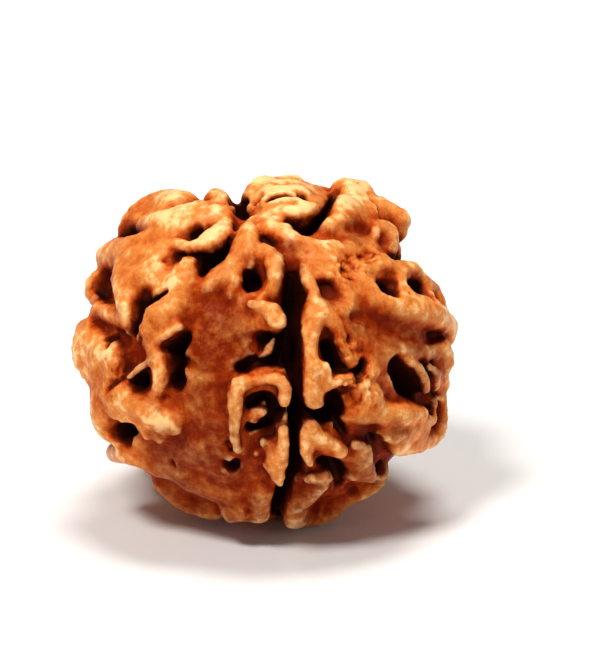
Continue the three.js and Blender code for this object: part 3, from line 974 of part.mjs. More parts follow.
// The point nearest all the planes, or the middle of the edge where they leave it loose.
function bestPlace(q, a, b) {
  const middle = scaled(add(a, b), 0.5);
  const system = new THREE.Matrix3().set(q[0], q[1], q[2], q[1], q[4], q[5], q[2], q[5], q[7]);
  const looseShare = 0.002;
  const total = q[0] + q[4] + q[7];
  if (Math.abs(system.determinant()) < looseShare * total ** 3) {
    return middle;
  }
  const spot = new THREE.Vector3(-q[3], -q[6], -q[8]).applyMatrix3(system.invert()).toArray();
  return size(add(spot, middle, -1)) < size(add(a, b, -1)) ? spot : middle;
}

// Thins a net by drawing the ends of its least needed edges together, one after another.
class Thinning {
  constructor({ places, triangles }) {
    this.places = places;
    this.triangles = triangles;
    this.left = triangles.length;
    this.sums = places.map(() => new Array(10).fill(0));
    this.around = places.map(() => []);
    this.changes = places.map(() => 0);
    this.edges = new CheapestFirst();
    triangles.forEach((corners, number) => {
      const sums = planeSums(...corners.map((n) => places[n]));
      for (const corner of corners) {
        this.around[corner].push(number);
        this.sums[corner] = this.sums[corner].map((n, i) => n + sums[i]);
      }
    });
    for (const corners of triangles) {
      corners.forEach((a, i) => {
        const b = corners[(i + 1) % 3];
        if (a < b) {
          this.offer(a, b);
        }
      });
    }
  }

  // An edge costs more in front, where the bead is seen, and a little more when it is long.
  offer(a, b) {
    const lengthCost = 0.0004;
    const q = this.sums[a].map((n, i) => n + this.sums[b][i]);
    const at = bestPlace(q, this.places[a], this.places[b]);
    const length = size(add(this.places[a], this.places[b], -1));
    const frontness = clamp(dot(at, towardWay) / bodyWide, -0.5, 0.5) + 0.5;
    const weight = backShare + (1 - backShare) * frontness;
    const cost = weight * (Math.max(planeError(q, at), 0) + lengthCost * length ** 2);
    this.edges.push({ cost, a, b, q, at, stamp: this.changes[a] + this.changes[b] });
  }

  neighbours(a) {
    return new Set(this.around[a].flatMap((number) => this.triangles[number]).filter((n) => n !== a));
  }

  // Whether the triangles round a corner keep facing as they did, and keep from thinning to a
  // sliver, when it moves to a place.
  staysFacing(a, other, at) {
    const leastTurn = 0.3;
    const sliver = 0.02;
    return this.around[a].every((number) => {
      const corners = this.triangles[number];
      if (corners.includes(other)) {
        return true;
      }
      const before = planeOf(...corners.map((n) => this.places[n]));
      const moved = corners.map((n) => (n === a ? at : this.places[n]));
      const after = planeOf(...moved);
      const longest = Math.max(...moved.map((p, i) => size(add(p, moved[(i + 1) % 3], -1))));
      return dot(before, after) > leastTurn * size(before) * size(after) && size(after) > sliver * longest ** 2;
    });
  }

  canJoin({ a, b, at }) {
    const besideB = this.neighbours(b);
    const shared = [...this.neighbours(a)].filter((n) => besideB.has(n));
    return shared.length === 2 && this.staysFacing(a, b, at) && this.staysFacing(b, a, at);
  }

  join({ a, b, q, at }) {
    const gone = this.around[b].filter((number) => this.triangles[number].includes(a));
    for (const number of gone) {
      for (const corner of this.triangles[number]) {
        this.around[corner] = this.around[corner].filter((n) => n !== number);
      }
      this.triangles[number] = null;
    }
    for (const number of this.around[b]) {
      this.triangles[number] = this.triangles[number].map((n) => (n === b ? a : n));
      this.around[a].push(number);
    }
    this.around[b] = [];
    this.places[a] = at;
    this.sums[a] = q;
    this.left -= gone.length;
    this.changes[a] += 1;
    this.changes[b] = Infinity;
    this.neighbours(a).forEach((n) => this.offer(a, n));
  }

  thinTo(count) {
    while (this.left > count && this.edges.entries.length > 1) {
      const edge = this.edges.pop();
      const current = this.changes[edge.a] + this.changes[edge.b] === edge.stamp;
      if (current && this.canJoin(edge)) {
        this.join(edge);
      }
    }
    return { places: this.places, triangles: this.triangles.filter(Boolean) };
  }
}

// The closed surface of the bead, its lowest corners laid on the flat spot.
function makeSurface() {
  const flatReach = 0.04;
  const { places, triangles } = new Thinning(largestNet(drawNet(measureForm()))).thinTo(keptTriangles);
  const used = [...new Set(triangles.flat())];
  const newNumber = new Map(used.map((n, i) => [n, i]));
  const corners = used.flatMap((n) => {
    const [x, y, z] = places[n];
    return [x, y, z < flatReach - flatSpotDepth ? -flatSpotDepth : z];
  });
  const surface = new THREE.BufferGeometry();
  surface.setAttribute("position", new THREE.Float32BufferAttribute(corners, 3));
  surface.setIndex(triangles.flat().map((n) => newNumber.get(n)));
  return surface;
}

// A cylinder along the line from pole to pole, longer than the bead.
function makeHole() {
  const length = 40;
  const radius = threadHole.diameter / 2;
  const way = unit(seen(threadHole.across, threadHole.up, threadHole.level));
  const hole = new THREE.CylinderGeometry(radius, radius, length, threadHole.sides);
  const upright = new THREE.Vector3(0, 1, 0);
  hole.applyQuaternion(new THREE.Quaternion().setFromUnitVectors(upright, new THREE.Vector3(...way)));
  hole.deleteAttribute("normal");
  hole.deleteAttribute("uv");
  return mergeVertices(hole, weldLength);
}

const wasm = await Module();
wasm.setup();

function toSolid(geometry) {
  const vertProperties = new Float32Array(geometry.getAttribute("position").array);
  const triVerts = new Uint32Array(geometry.getIndex().array);
  return new wasm.Manifold(new wasm.Mesh({ numProp: 3, vertProperties, triVerts }));
}

function toGeometry(solid) {
  const mesh = solid.getMesh();
  const geometry = new THREE.BufferGeometry();
  geometry.setAttribute("position", new THREE.BufferAttribute(mesh.vertProperties, 3));
  geometry.setIndex(new THREE.BufferAttribute(mesh.triVerts, 1));
  return geometry;
}

// Stands the bead with the middle of its box over the origin and its flat spot at height zero.
function standUp(geometry) {
  geometry.computeBoundingBox();
  const box = geometry.boundingBox;
  geometry.translate(-(box.min.x + box.max.x) / 2, -(box.min.y + box.max.y) / 2, -box.min.z);
  geometry.computeVertexNormals();
  return geometry;
}

const beadGeometry = standUp(toGeometry(toSolid(makeSurface()).subtract(toSolid(makeHole()))));
const stone = new THREE.MeshStandardMaterial({
  color: stoneColour,
  roughness: stoneRoughness,
  metalness: stoneMetalness,
});
const bead = new THREE.Mesh(beadGeometry, stone);
bead.name = "bead";

const group = new THREE.Group();
group.add(bead);

export default group;
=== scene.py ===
import math

import bpy
import numpy as np
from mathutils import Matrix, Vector, noise


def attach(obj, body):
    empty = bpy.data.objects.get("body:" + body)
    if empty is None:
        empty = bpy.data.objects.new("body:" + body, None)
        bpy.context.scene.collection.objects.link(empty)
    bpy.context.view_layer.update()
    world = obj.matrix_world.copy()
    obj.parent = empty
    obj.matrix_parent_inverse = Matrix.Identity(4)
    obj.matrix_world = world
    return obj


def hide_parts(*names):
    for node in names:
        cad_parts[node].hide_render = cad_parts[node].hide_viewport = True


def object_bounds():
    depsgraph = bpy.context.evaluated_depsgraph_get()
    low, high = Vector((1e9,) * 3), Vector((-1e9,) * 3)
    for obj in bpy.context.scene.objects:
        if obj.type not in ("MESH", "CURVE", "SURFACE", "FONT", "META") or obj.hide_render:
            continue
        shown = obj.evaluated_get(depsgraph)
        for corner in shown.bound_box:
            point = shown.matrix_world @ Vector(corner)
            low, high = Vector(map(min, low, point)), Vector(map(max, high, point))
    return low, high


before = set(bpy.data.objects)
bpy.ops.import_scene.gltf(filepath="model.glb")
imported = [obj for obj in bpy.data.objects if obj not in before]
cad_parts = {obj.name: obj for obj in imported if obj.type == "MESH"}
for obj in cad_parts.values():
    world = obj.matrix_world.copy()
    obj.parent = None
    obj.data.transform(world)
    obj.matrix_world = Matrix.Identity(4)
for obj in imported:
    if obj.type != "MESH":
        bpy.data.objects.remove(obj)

# A one mukhi rudraksha bead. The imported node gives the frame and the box; one finer mesh of the
# same form stands for it. The form is worked out in millimetres round the bead's middle, +Z up,
# the furrow towards -Y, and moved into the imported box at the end.
cadLow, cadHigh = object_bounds()
millimetre = 0.001

# The round body, how softly the relief joins it, its low swellings, the thread hole and the
# flat spot it rests on.
beadForm = {
    "wide": 10.35,
    "tall": 9.85,
    "viewElevation": 20,
    "lobeBlend": 0.75,
    "ridgeBlend": 0.42,
    "hollowBlend": 0.28,
    "holeBlend": 0.25,
    "ridgeNeck": 0.15,
    "hollowFlare": 0.12,
    "broadSwell": {"height": 0.14, "wavelength": 4.5, "waves": 7, "seed": 5},
    "fineSwell": {"height": 0.06, "wavelength": 1.8, "waves": 7, "seed": 6},
    "threadHole": {"diameter": 1.2, "across": -1.5, "up": 8.7, "level": -0.4},
    "flatSpotDepth": 10.5,
}

# Each stroke is a list of points: across and up as seen from the front, then the height of its
# crest above the body, or of a hollow's floor, and its half width.
# Lobes are the broad swellings that carry the net.
lobes = {
    "upper left lobe": [
        [-8.5, 7.6, 1.5, 0.8], [-7.6, 8.15, 1.75, 1.3], [-6.3, 8.55, 1.95, 1.6],
        [-5.3, 8.75, 1.8, 1.35],
    ],
    "upper left lobe foot": [
        [-7.6, 7.8, 1.6, 0.8], [-6.4, 7.9, 1.8, 0.9], [-5.2, 8.25, 1.7, 0.9], [-4.2, 8.65, 1.4, 0.8],
    ],
    "upper left knob": [[-3.1, 9.5, 1.15, 0.7], [-2.7, 9.3, 1, 0.6], [-3.2, 8.8, 0.8, 0.6]],
    "nose side": [
        [-6.3, 7.2, 1.1, 0.6], [-5.2, 7.3, 1.1, 0.7], [-3.9, 7.8, 1.1, 0.8], [-3, 8.2, 0.9, 0.7],
    ],
    "left plate top": [
        [-9.7, 5.9, 1.7, 0.95], [-8.3, 6, 1.6, 1.1], [-6.9, 6.1, 1.3, 1], [-5.9, 6.3, 1.1, 0.7],
    ],
    "left plate middle": [[-8.3, 5.3, 1.5, 1.1], [-7.6, 4.35, 1.4, 1.15], [-6.9, 4.9, 1.3, 0.9]],
    "left plate right": [[-7.5, 5.6, 1.3, 1], [-6.4, 5.4, 1.2, 0.8], [-6.6, 4.5, 1.1, 0.65]],
    "left tongue": [
        [-8.7, 4.4, 1.4, 0.9], [-8.5, 3.2, 1.5, 0.85], [-8.4, 2.3, 1.3, 0.65], [-8.35, 1.4, 0.8, 0.35],
    ],
    "tongue band": [[-10.4, 2.6, 1.1, 0.45], [-9.5, 2.3, 1, 0.6], [-8.8, 1.9, 0.9, 0.5]],
    "second plate": [
        [-4.8, 5.05, 1.3, 0.9], [-5, 4.2, 1.3, 1.15], [-5.8, 3.2, 1.2, 1.2], [-6.5, 2.4, 1.1, 1],
        [-7.2, 1.5, 0.9, 0.7], [-7.6, 1, 0.65, 0.4],
    ],
    "second plate foot": [[-5.3, 2.8, 0.9, 1], [-6, 1.9, 0.8, 0.8], [-6.7, 1.1, 0.7, 0.6]],
    "left middle": [
        [-3.6, 3.2, 0.1, 0.9], [-3.4, 1.4, -0.1, 1.1], [-3.6, -0.6, 0, 1.1], [-3.6, -2.4, 0.2, 1.1],
    ],
    "crown base": [
        [-0.4, 9.3, 0.4, 0.5], [0.5, 9.4, 1, 0.8], [1.5, 9.35, 1.15, 0.9], [2.4, 9.5, 1, 0.9],
        [3.3, 9.9, 0.6, 0.6],
    ],
    "crown middle": [[0.3, 9.65, 1.05, 0.45], [1.3, 9.75, 1.22, 0.5], [2.1, 9.7, 1.15, 0.5]],
    "crown upper": [[0.1, 10.15, 1.1, 0.4], [0.9, 10.35, 1.18, 0.45], [1.7, 10.3, 1.2, 0.45]],
    "crown root": [[0, 8.35, 0.4, 0.4], [0.6, 8, 0.7, 0.5], [0.3, 7.3, 0.4, 0.5], [1.2, 7.5, 0.8, 0.5]],
    "window head": [[-0.4, 5.9, 0.7, 0.4], [-0.4, 5.35, 0.35, 0.35]],
    "crevice floor": [[-0.15, 7.2, 0.45, 0.4]],
    "furrow head": [[1.3, 6.3, 0.7, 0.55], [1.5, 5.6, 0.5, 0.5], [1.6, 4.9, 0.1, 0.4]],
    "right crest foot": [[1.9, 6.3, 0.65, 0.45], [2.8, 6.2, 0.8, 0.5], [4, 6.05, 0.85, 0.55]],
    "band foot": [[3.1, 5.3, 0.7, 0.45], [4.2, 5.2, 0.8, 0.5]],
    "right shoulder": [
        [4.6, 8.5, 1.2, 0.8], [5.6, 8.7, 1.5, 1.1], [6.3, 8.6, 1.5, 0.8], [6.95, 8.7, 1.5, 0.7],
    ],
    "shoulder left foot": [[3.7, 7.7, 0.9, 0.7], [4.3, 8.5, 1.1, 0.7], [4.7, 9.2, 1.4, 0.6]],
    "right shoulder crest": [[4.95, 9.95, 2.1, 0.95], [5.7, 9.7, 2.1, 1.1]],
    "right shoulder end": [[7.2, 8.8, 1.8, 0.75], [8.2, 8.2, 2.05, 0.87], [8.3, 7.6, 1.7, 0.6]],
    "shoulder foot": [[4.6, 7.6, 0.9, 0.9], [5.8, 7.6, 0.9, 1], [6.9, 7.3, 0.9, 0.8]],
    "hook body": [[7, 7.4, 1.25, 0.6], [7.5, 7.1, 1.35, 0.7], [7.6, 6.4, 1.2, 0.6]],
    "right plate": [
        [4.6, 5.6, 0.7, 1], [5.8, 6.3, 0.8, 1], [6.6, 5.4, 0.9, 0.9], [5.4, 4.6, 0.8, 1],
        [6.4, 3.6, 0.8, 1],
    ],
    "right plate side": [
        [4.9, 3.4, 0.75, 0.8], [4.9, 2.4, 0.65, 0.8], [5.3, 1.5, 0.55, 0.8], [5.8, 0.6, 0.5, 0.8],
    ],
    "arm plate": [
        [4.3, 2.2, 0.8, 0.7], [4.8, 1.2, 0.6, 0.7], [5.2, 0.3, 0.6, 0.6], [5.3, -0.4, 0.5, 0.5],
    ],
    "right plate brow": [[7, 5.2, 0.9, 0.7], [7.8, 4.85, 1, 0.6], [8.9, 4.9, 1.2, 0.6]],
    "right bulge": [
        [6.4, 3.1, 0.8, 0.9], [7.8, 2.85, 1.3, 1.05], [9, 2.6, 1.6, 1.1], [10.2, 2.3, 1.8, 1],
        [11, 1.8, 1.75, 0.8],
    ],
    "right bulge end": [[11.35, 1.6, 1.8, 0.65], [11.3, 0.9, 1.6, 0.55]],
    "bulge heel": [[11, 0.4, 1.5, 0.45], [11.1, -0.1, 1.4, 0.45]],
    "right bulge foot": [[6.2, 1.3, 0.1, 0.8], [7.6, 1, 0.15, 0.7], [9, 0.7, 0.3, 0.6]],
    "outer edge": [[9.75, 4.3, 1.15, 0.5], [10.15, 3.8, 1.25, 0.6], [10.4, 3.2, 1.25, 0.6]],
    "outer edge side": [[9.75, 4, 1.05, 0.4], [10, 3.5, 1.2, 0.42]],
    "right middle": [
        [6.4, -0.4, 0.6, 0.9], [7.6, 0.1, 0.6, 0.7], [9.6, 0.1, 0.9, 0.6], [10.6, 0, 1.2, 0.6],
        [11.15, -0.6, 1.5, 0.55],
    ],
    "rib floor": [[10.3, -1.3, 1, 0.6], [10.5, -2.2, 1, 0.6]],
    "lower right plate": [
        [6.2, -1.2, 0.9, 0.8], [5.9, -2, 1, 0.9], [6.3, -2.8, 1.1, 1], [5.8, -3.8, 1, 0.7],
    ],
    "lower right ledge": [[6.6, -3.7, 1, 0.75], [8.2, -3.8, 1.3, 0.75], [9.5, -3.85, 1.4, 0.6]],
    "lower right rim": [
        [7.9, -5.8, 1.2, 0.7], [9.2, -5.5, 1.5, 0.85], [10.1, -5.2, 1.75, 0.85],
        [10.65, -4.6, 1.7, 0.7], [10.85, -3.7, 1.5, 0.5], [10.9, -3.1, 1.3, 0.4],
    ],
    "rim side": [[10.1, -4, 1.3, 0.5], [10.3, -3.2, 1.15, 0.4]],
    "rim back": [[7.3, -5, 1.1, 0.7], [8.2, -4.9, 1.3, 0.7], [9.6, -4.75, 1.4, 0.6]],
    "left ring side": [
        [-11.1, 1.3, 1.6, 0.7], [-11.3, 0.2, 2, 0.8], [-11.1, -0.6, 1.9, 0.85],
        [-10.6, -1.4, 1.5, 0.75], [-10.3, -2.1, 1.2, 0.6],
    ],
    "left side plate": [
        [-10.6, 1.7, 1.2, 0.6], [-10.4, 0.6, 1.5, 0.8], [-9.3, -0.2, 1.35, 0.95],
        [-9.3, -1, 1.3, 0.85],
    ],
    "left side middle": [[-11, 1.2, 1.45, 0.7], [-10.6, 0.3, 1.6, 0.95], [-10.1, -0.7, 1.45, 0.85]],
    "left side foot": [[-10, -1.5, 1.2, 0.7], [-9.6, -2.2, 1.2, 0.6]],
    "lower left dome": [
        [-9.8, -3, 1.7, 1.15], [-9.8, -4, 1.8, 1.1], [-9.7, -4.7, 1.65, 0.85], [-9.3, -5.2, 1.5, 0.6],
    ],
    "lower left dome side": [[-9.3, -2.7, 1.45, 0.85], [-9.1, -3.5, 1.4, 0.75]],
    "lower left arm": [
        [-8.6, -3, 1.4, 1], [-7.3, -3.5, 1.35, 1], [-6.4, -4.1, 1.2, 0.9], [-5.7, -4.5, 1, 0.65],
    ],
    "lower left arm foot": [[-7.3, -4.5, 0.95, 0.7], [-6.4, -5, 0.75, 0.7]],
    "pit shoulder": [[-8.6, -2, 1, 0.6], [-8.3, -2.6, 1.1, 0.6]],
    "lower left tongue": [
        [-9.35, -6.25, 1.5, 0.65], [-8.5, -6.3, 1.5, 0.7], [-7.4, -6.6, 1.1, 0.75],
        [-6.6, -7.1, 0.8, 0.7],
    ],
    "lower left cheek": [
        [-7.4, -5.3, 0.6, 0.7], [-6.6, -5.9, 0.4, 0.8], [-5.2, -6.2, 0.3, 1], [-3.8, -5.4, 0.2, 1.1],
    ],
    "bowl left": [[-6.1, -8, 1, 1], [-5, -8.8, 1, 1.1], [-3.4, -9.4, 1.1, 1.1]],
    "bowl face": [[-5.4, -6.9, 0.6, 1.1], [-4.2, -7.6, 0.6, 1.2], [-3, -8.3, 0.7, 1]],
    "bowl middle": [[-2, -9.75, 1.4, 0.85], [-1.6, -9.75, 1.4, 0.8], [-1.9, -8.7, 0.7, 0.7]],
    "bowl front": [[-0.3, -8.6, 0.85, 0.75], [-0.4, -9.9, 1.3, 0.75]],
    "bowl right": [
        [2, -9, 1, 0.85], [1.65, -10, 1.45, 0.95], [2.4, -10.1, 1.3, 0.85], [3.6, -9.9, 1, 0.85],
        [4.7, -9.1, 0.9, 0.7],
    ],
    "bowl right end": [[5.8, -8.6, 0.9, 0.7], [6.8, -8, 1, 0.65], [7.15, -7.5, 0.9, 0.5]],
    "lower right post": [[5.8, -6.2, 0.8, 0.65], [5.85, -7.2, 0.9, 0.7]],
    "fork face": [[2.8, -5, 0.7, 0.5], [3.3, -5.5, 0.7, 0.5], [4.2, -6, 0.7, 0.4]],
    "knob face": [[3.3, -8.2, 1, 0.6], [2.6, -8.7, 1, 0.7]],
}

# Hollows are the furrow, the clefts, the windows between ridges and the pits.
hollows = {
    "left ring": [[-9.75, 4.4, -0.9, 0.5], [-10, 3.85, -1.1, 0.66], [-9.75, 3.3, -0.8, 0.5]],
    "under the left plate": [
        [-6.2, 3.8, 0.7, 0.1], [-6.9, 3.35, 0.1, 0.14], [-7.45, 2.8, -0.8, 0.3],
        [-7.75, 2.2, -0.9, 0.27], [-8, 1.6, -0.6, 0.2], [-8.25, 1.15, -0.1, 0.15],
    ],
    "upper left cleft": [
        [-2.05, 7.75, 0.15, 0.1], [-2.1, 7, -0.7, 0.15], [-2.35, 6.4, -1.3, 0.26],
        [-2.9, 5.8, -1.9, 0.46], [-3.4, 5.3, -1.9, 0.42], [-3.62, 4.8, -1.1, 0.22],
    ],
    "below the nose": [
        [-5.45, 5.65, 0.7, 0.12], [-4.9, 5.95, 0.4, 0.16], [-4.1, 6, -0.6, 0.26],
        [-3.3, 5.85, -1.6, 0.4],
    ],
    "plate speck": [[-6.25, 5.72, 0.75, 0.12], [-6.05, 5.78, 0.75, 0.1]],
    "ridge eye": [[-4.4, 7.2, -0.4, 0.2], [-4.15, 7.35, -0.4, 0.24]],
    "behind the long ridge": [[-9, 7.15, 0.1, 0.18], [-8.5, 7.35, -0.1, 0.24], [-8.15, 7.5, 0.3, 0.16]],
    "front window": [[-0.95, 4.85, -1, 0.42], [-0.85, 4.3, -1.6, 0.5]],
    "furrow top": [[-0.7, 8.15, 0.1, 0.08], [-0.45, 7.5, 0.15, 0.1], [-0.15, 6.95, 0.1, 0.12]],
    "long furrow": [
        [1.5, 5, 0.1, 0.32], [1.6, 4.3, -0.8, 0.46], [1.7, 3.2, -1.8, 0.58], [1.7, 2, -2.2, 0.48],
        [1.6, 0.8, -2.3, 0.6], [1.8, -0.6, -2.4, 0.44], [2, -2, -2.5, 0.3], [1.95, -3.6, -2.5, 0.36],
        [1.85, -5, -2.4, 0.28], [1.8, -6.6, -2.3, 0.3], [1.4, -7.7, -2, 0.3], [0.95, -8.7, -1.6, 0.26],
        [0.75, -9.5, -1.1, 0.22], [0.55, -10.2, -0.5, 0.14],
    ],
    "upper right cleft": [
        [1.75, 7.75, -0.6, 0.22], [2.3, 7.55, -1.2, 0.36], [2.85, 7.8, -1.2, 0.26],
        [3.4, 8.4, -1, 0.18], [3.85, 9.1, -0.6, 0.12], [4.2, 9.7, 0, 0.1],
    ],
    "crown slit": [[2.1, 9.6, 0.3, 0.12], [2.35, 9.45, 0.2, 0.12]],
    "shoulder dent": [[5.3, 7.55, 0.5, 0.45], [6, 7.5, 0.5, 0.45]],
    "shoulder cleft": [[6.75, 9.3, 1.2, 0.12], [7.1, 8.7, 1.1, 0.16], [7.15, 8.35, 1, 0.16]],
    "hook dent": [[7.45, 7.1, 0.95, 0.28], [7.4, 6.6, 0.9, 0.24]],
    "right eye": [[7.4, 4.1, -1.2, 0.4], [7.8, 3.9, -1.3, 0.42]],
    "above the right eye": [[7.4, 4.75, 0.6, 0.2], [8, 4.85, 0.65, 0.2]],
    "far right eye": [[9.05, 4.5, 0.1, 0.14], [9.25, 4.05, -0.3, 0.18], [9.42, 3.72, 0, 0.13]],
    "far right line": [[10.1, 3.5, 0.9, 0.07], [10.55, 3.05, 0.95, 0.09]],
    "under the bulge": [
        [5.5, 2.2, 0.35, 0.3], [6.6, 1.8, 0.25, 0.5], [8, 1.3, 0.35, 0.45], [9.1, 1, 0.5, 0.34],
    ],
    "slot under the bulge": [[9.5, 0.6, 0.9, 0.12], [10.2, 0.8, 0.6, 0.18], [10.9, 1, 0.85, 0.12]],
    "great pit": [[8.05, -0.85, -1.8, 0.5], [8.5, -1.7, -2.2, 0.72], [9.1, -2.3, -1.6, 0.5]],
    "rim slot": [[10.25, -3.1, 0.7, 0.08], [10.4, -3.6, 0.4, 0.14], [10.4, -4, 0.6, 0.09]],
    "under the ledge": [
        [5, -4.95, 0.45, 0.24], [6.4, -5, 0.55, 0.3], [8, -4.85, 1, 0.22], [9.4, -4.65, 1.35, 0.1],
    ],
    "left of the plate column": [
        [-7.75, 0.75, 0.2, 0.22], [-7.9, 0, 0.15, 0.32], [-7.9, -0.5, 0.2, 0.22],
    ],
    "right of the ridge": [[3.75, 0.35, -1.6, 0.3], [4, -0.25, -1.8, 0.4], [4.4, -0.95, -1.6, 0.3]],
    "plate break": [[5.2, -1.1, -0.1, 0.18], [5.75, -1.15, -0.4, 0.2], [6.05, -0.6, -0.1, 0.18]],
    "plate break below": [[5.6, -1.3, 0.2, 0.1], [5.65, -1.75, 0.4, 0.1]],
    "plate break above": [
        [4.35, 2.65, 0.5, 0.08], [4.75, 2, 0.35, 0.11], [4.95, 1.3, 0.3, 0.11],
        [5.2, 0.75, 0.35, 0.09],
    ],
    "ridge dent": [[3.85, 3.95, 0.3, 0.32], [3.95, 3.35, 0.25, 0.4], [4.4, 3, 0.5, 0.24]],
    "pit below the ridge": [
        [4.15, -2.8, -1.4, 0.42], [4.25, -3.7, -1.8, 0.48], [3.5, -3.95, -1.8, 0.34],
        [2.5, -3.9, -2, 0.22],
    ],
    "pit behind the fork": [[4.5, -4.5, -0.6, 0.26], [4.9, -5.1, -0.3, 0.18]],
    "pit in the fork": [
        [3.5, -6.7, -1.2, 0.3], [4.1, -6.95, -1.4, 0.36], [4.6, -7.5, -1.3, 0.32],
        [4.6, -8.2, -0.7, 0.28],
    ],
    "post cleft": [[6.6, -5.3, -0.3, 0.24], [6.65, -6.2, -0.1, 0.16], [6.75, -6.9, 0.1, 0.12]],
    "recess by the rim": [[7.1, -5.5, 0.3, 0.26], [7.2, -6.3, 0.2, 0.24]],
    "low right eye": [[7.2, -7.2, -0.4, 0.24], [7.1, -7.5, -0.3, 0.18]],
    "low right dent": [[5.2, -8.3, -0.2, 0.3], [5.5, -8.7, 0, 0.26]],
    "bowl dent": [[3.8, -9.2, 0.3, 0.34], [3.7, -9.6, 0.4, 0.26]],
    "middle hollow": [
        [-1, 1.05, 0, 0.3], [-0.4, 0.9, -0.5, 0.45], [0.5, 0.75, -1.6, 0.55], [1.1, 0.4, -2.2, 0.5],
        [0.8, -0.35, -2, 0.5], [0, -0.4, -1.3, 0.45], [-0.8, -0.6, -0.7, 0.34],
    ],
    "hollow heart": [[-0.6, 0.3, -0.4, 0.4], [0.3, 0.2, -1.4, 0.5]],
    "left small pit": [[-0.9, -0.6, -0.9, 0.3], [-1.45, -0.95, -1.1, 0.38]],
    "arch pit": [
        [-1, -3.1, -1, 0.34], [0, -2.9, -1.4, 0.42], [0.7, -3.6, -1.6, 0.42], [0.2, -4.4, -1.4, 0.4],
        [-0.9, -4.6, -1.2, 0.36],
    ],
    "arch floor": [[0.3, -4.9, -0.6, 0.4], [-0.6, -5.6, -0.3, 0.5], [-0.8, -6.3, -0.2, 0.35]],
    "beside the arch": [[-2.3, -5.6, -0.2, 0.16], [-2.1, -6.1, -0.2, 0.14]],
    "low middle dent": [[-2.6, -6.9, -0.1, 0.3], [-2.1, -7.2, -0.8, 0.4], [-1.8, -6.8, -0.3, 0.26]],
    "bottom folds": [[-1.6, -8.3, 0.7, 0.14], [-1.3, -9, 0.8, 0.12], [-1.1, -10, 0.8, 0.12]],
    "long pit top": [[-5.15, 0.9, -1.8, 0.5], [-5.65, 0.5, -2, 0.5]],
    "long pit": [[-5.55, 0.2, -2, 0.44], [-5.5, -0.7, -1.8, 0.36], [-5.5, -1.65, -1.8, 0.58]],
    "beside the long pit": [[-4.95, -0.6, -0.5, 0.26], [-4.5, -0.75, 0.05, 0.28]],
    "left three corner pit": [
        [-7.45, -1.1, -0.9, 0.24], [-7.9, -1.5, -0.7, 0.2], [-7.5, -1.75, -1.2, 0.4],
    ],
    "lower left hole": [[-8.8, -4.9, -0.7, 0.42], [-8.2, -4.85, -1.1, 0.52]],
    "left side pit": [[-9.95, 0.85, 0.3, 0.18], [-9.65, 0.85, 0.1, 0.18], [-9.95, 0.4, 0.3, 0.12]],
    "left side line": [
        [-10.7, 2.1, 0.9, 0.1], [-10.2, 1.7, 0.7, 0.1], [-9.3, 1.25, 0.5, 0.1], [-8.5, 0.6, 0.2, 0.12],
        [-8.2, -0.3, 0.2, 0.16], [-8.4, -1.1, 0.2, 0.14],
    ],
    "left low line": [[-9.8, -2.3, 1, 0.08], [-9.3, -1.9, 0.75, 0.09], [-8.7, -1.5, 0.4, 0.12]],
    "bowl band": [[-4.8, -9.35, 0.6, 0.14], [-3.7, -9.4, 0.6, 0.14]],
    "left bowl slot": [[-5.8, -6.85, 0.1, 0.12], [-5.75, -7.2, 0.15, 0.12]],
    "mouth of the hole": [[-1.8, 8.95, -1, 0.22], [-1.5, 8.6, -1.4, 0.36], [-1.2, 8.4, -1, 0.2]],
}

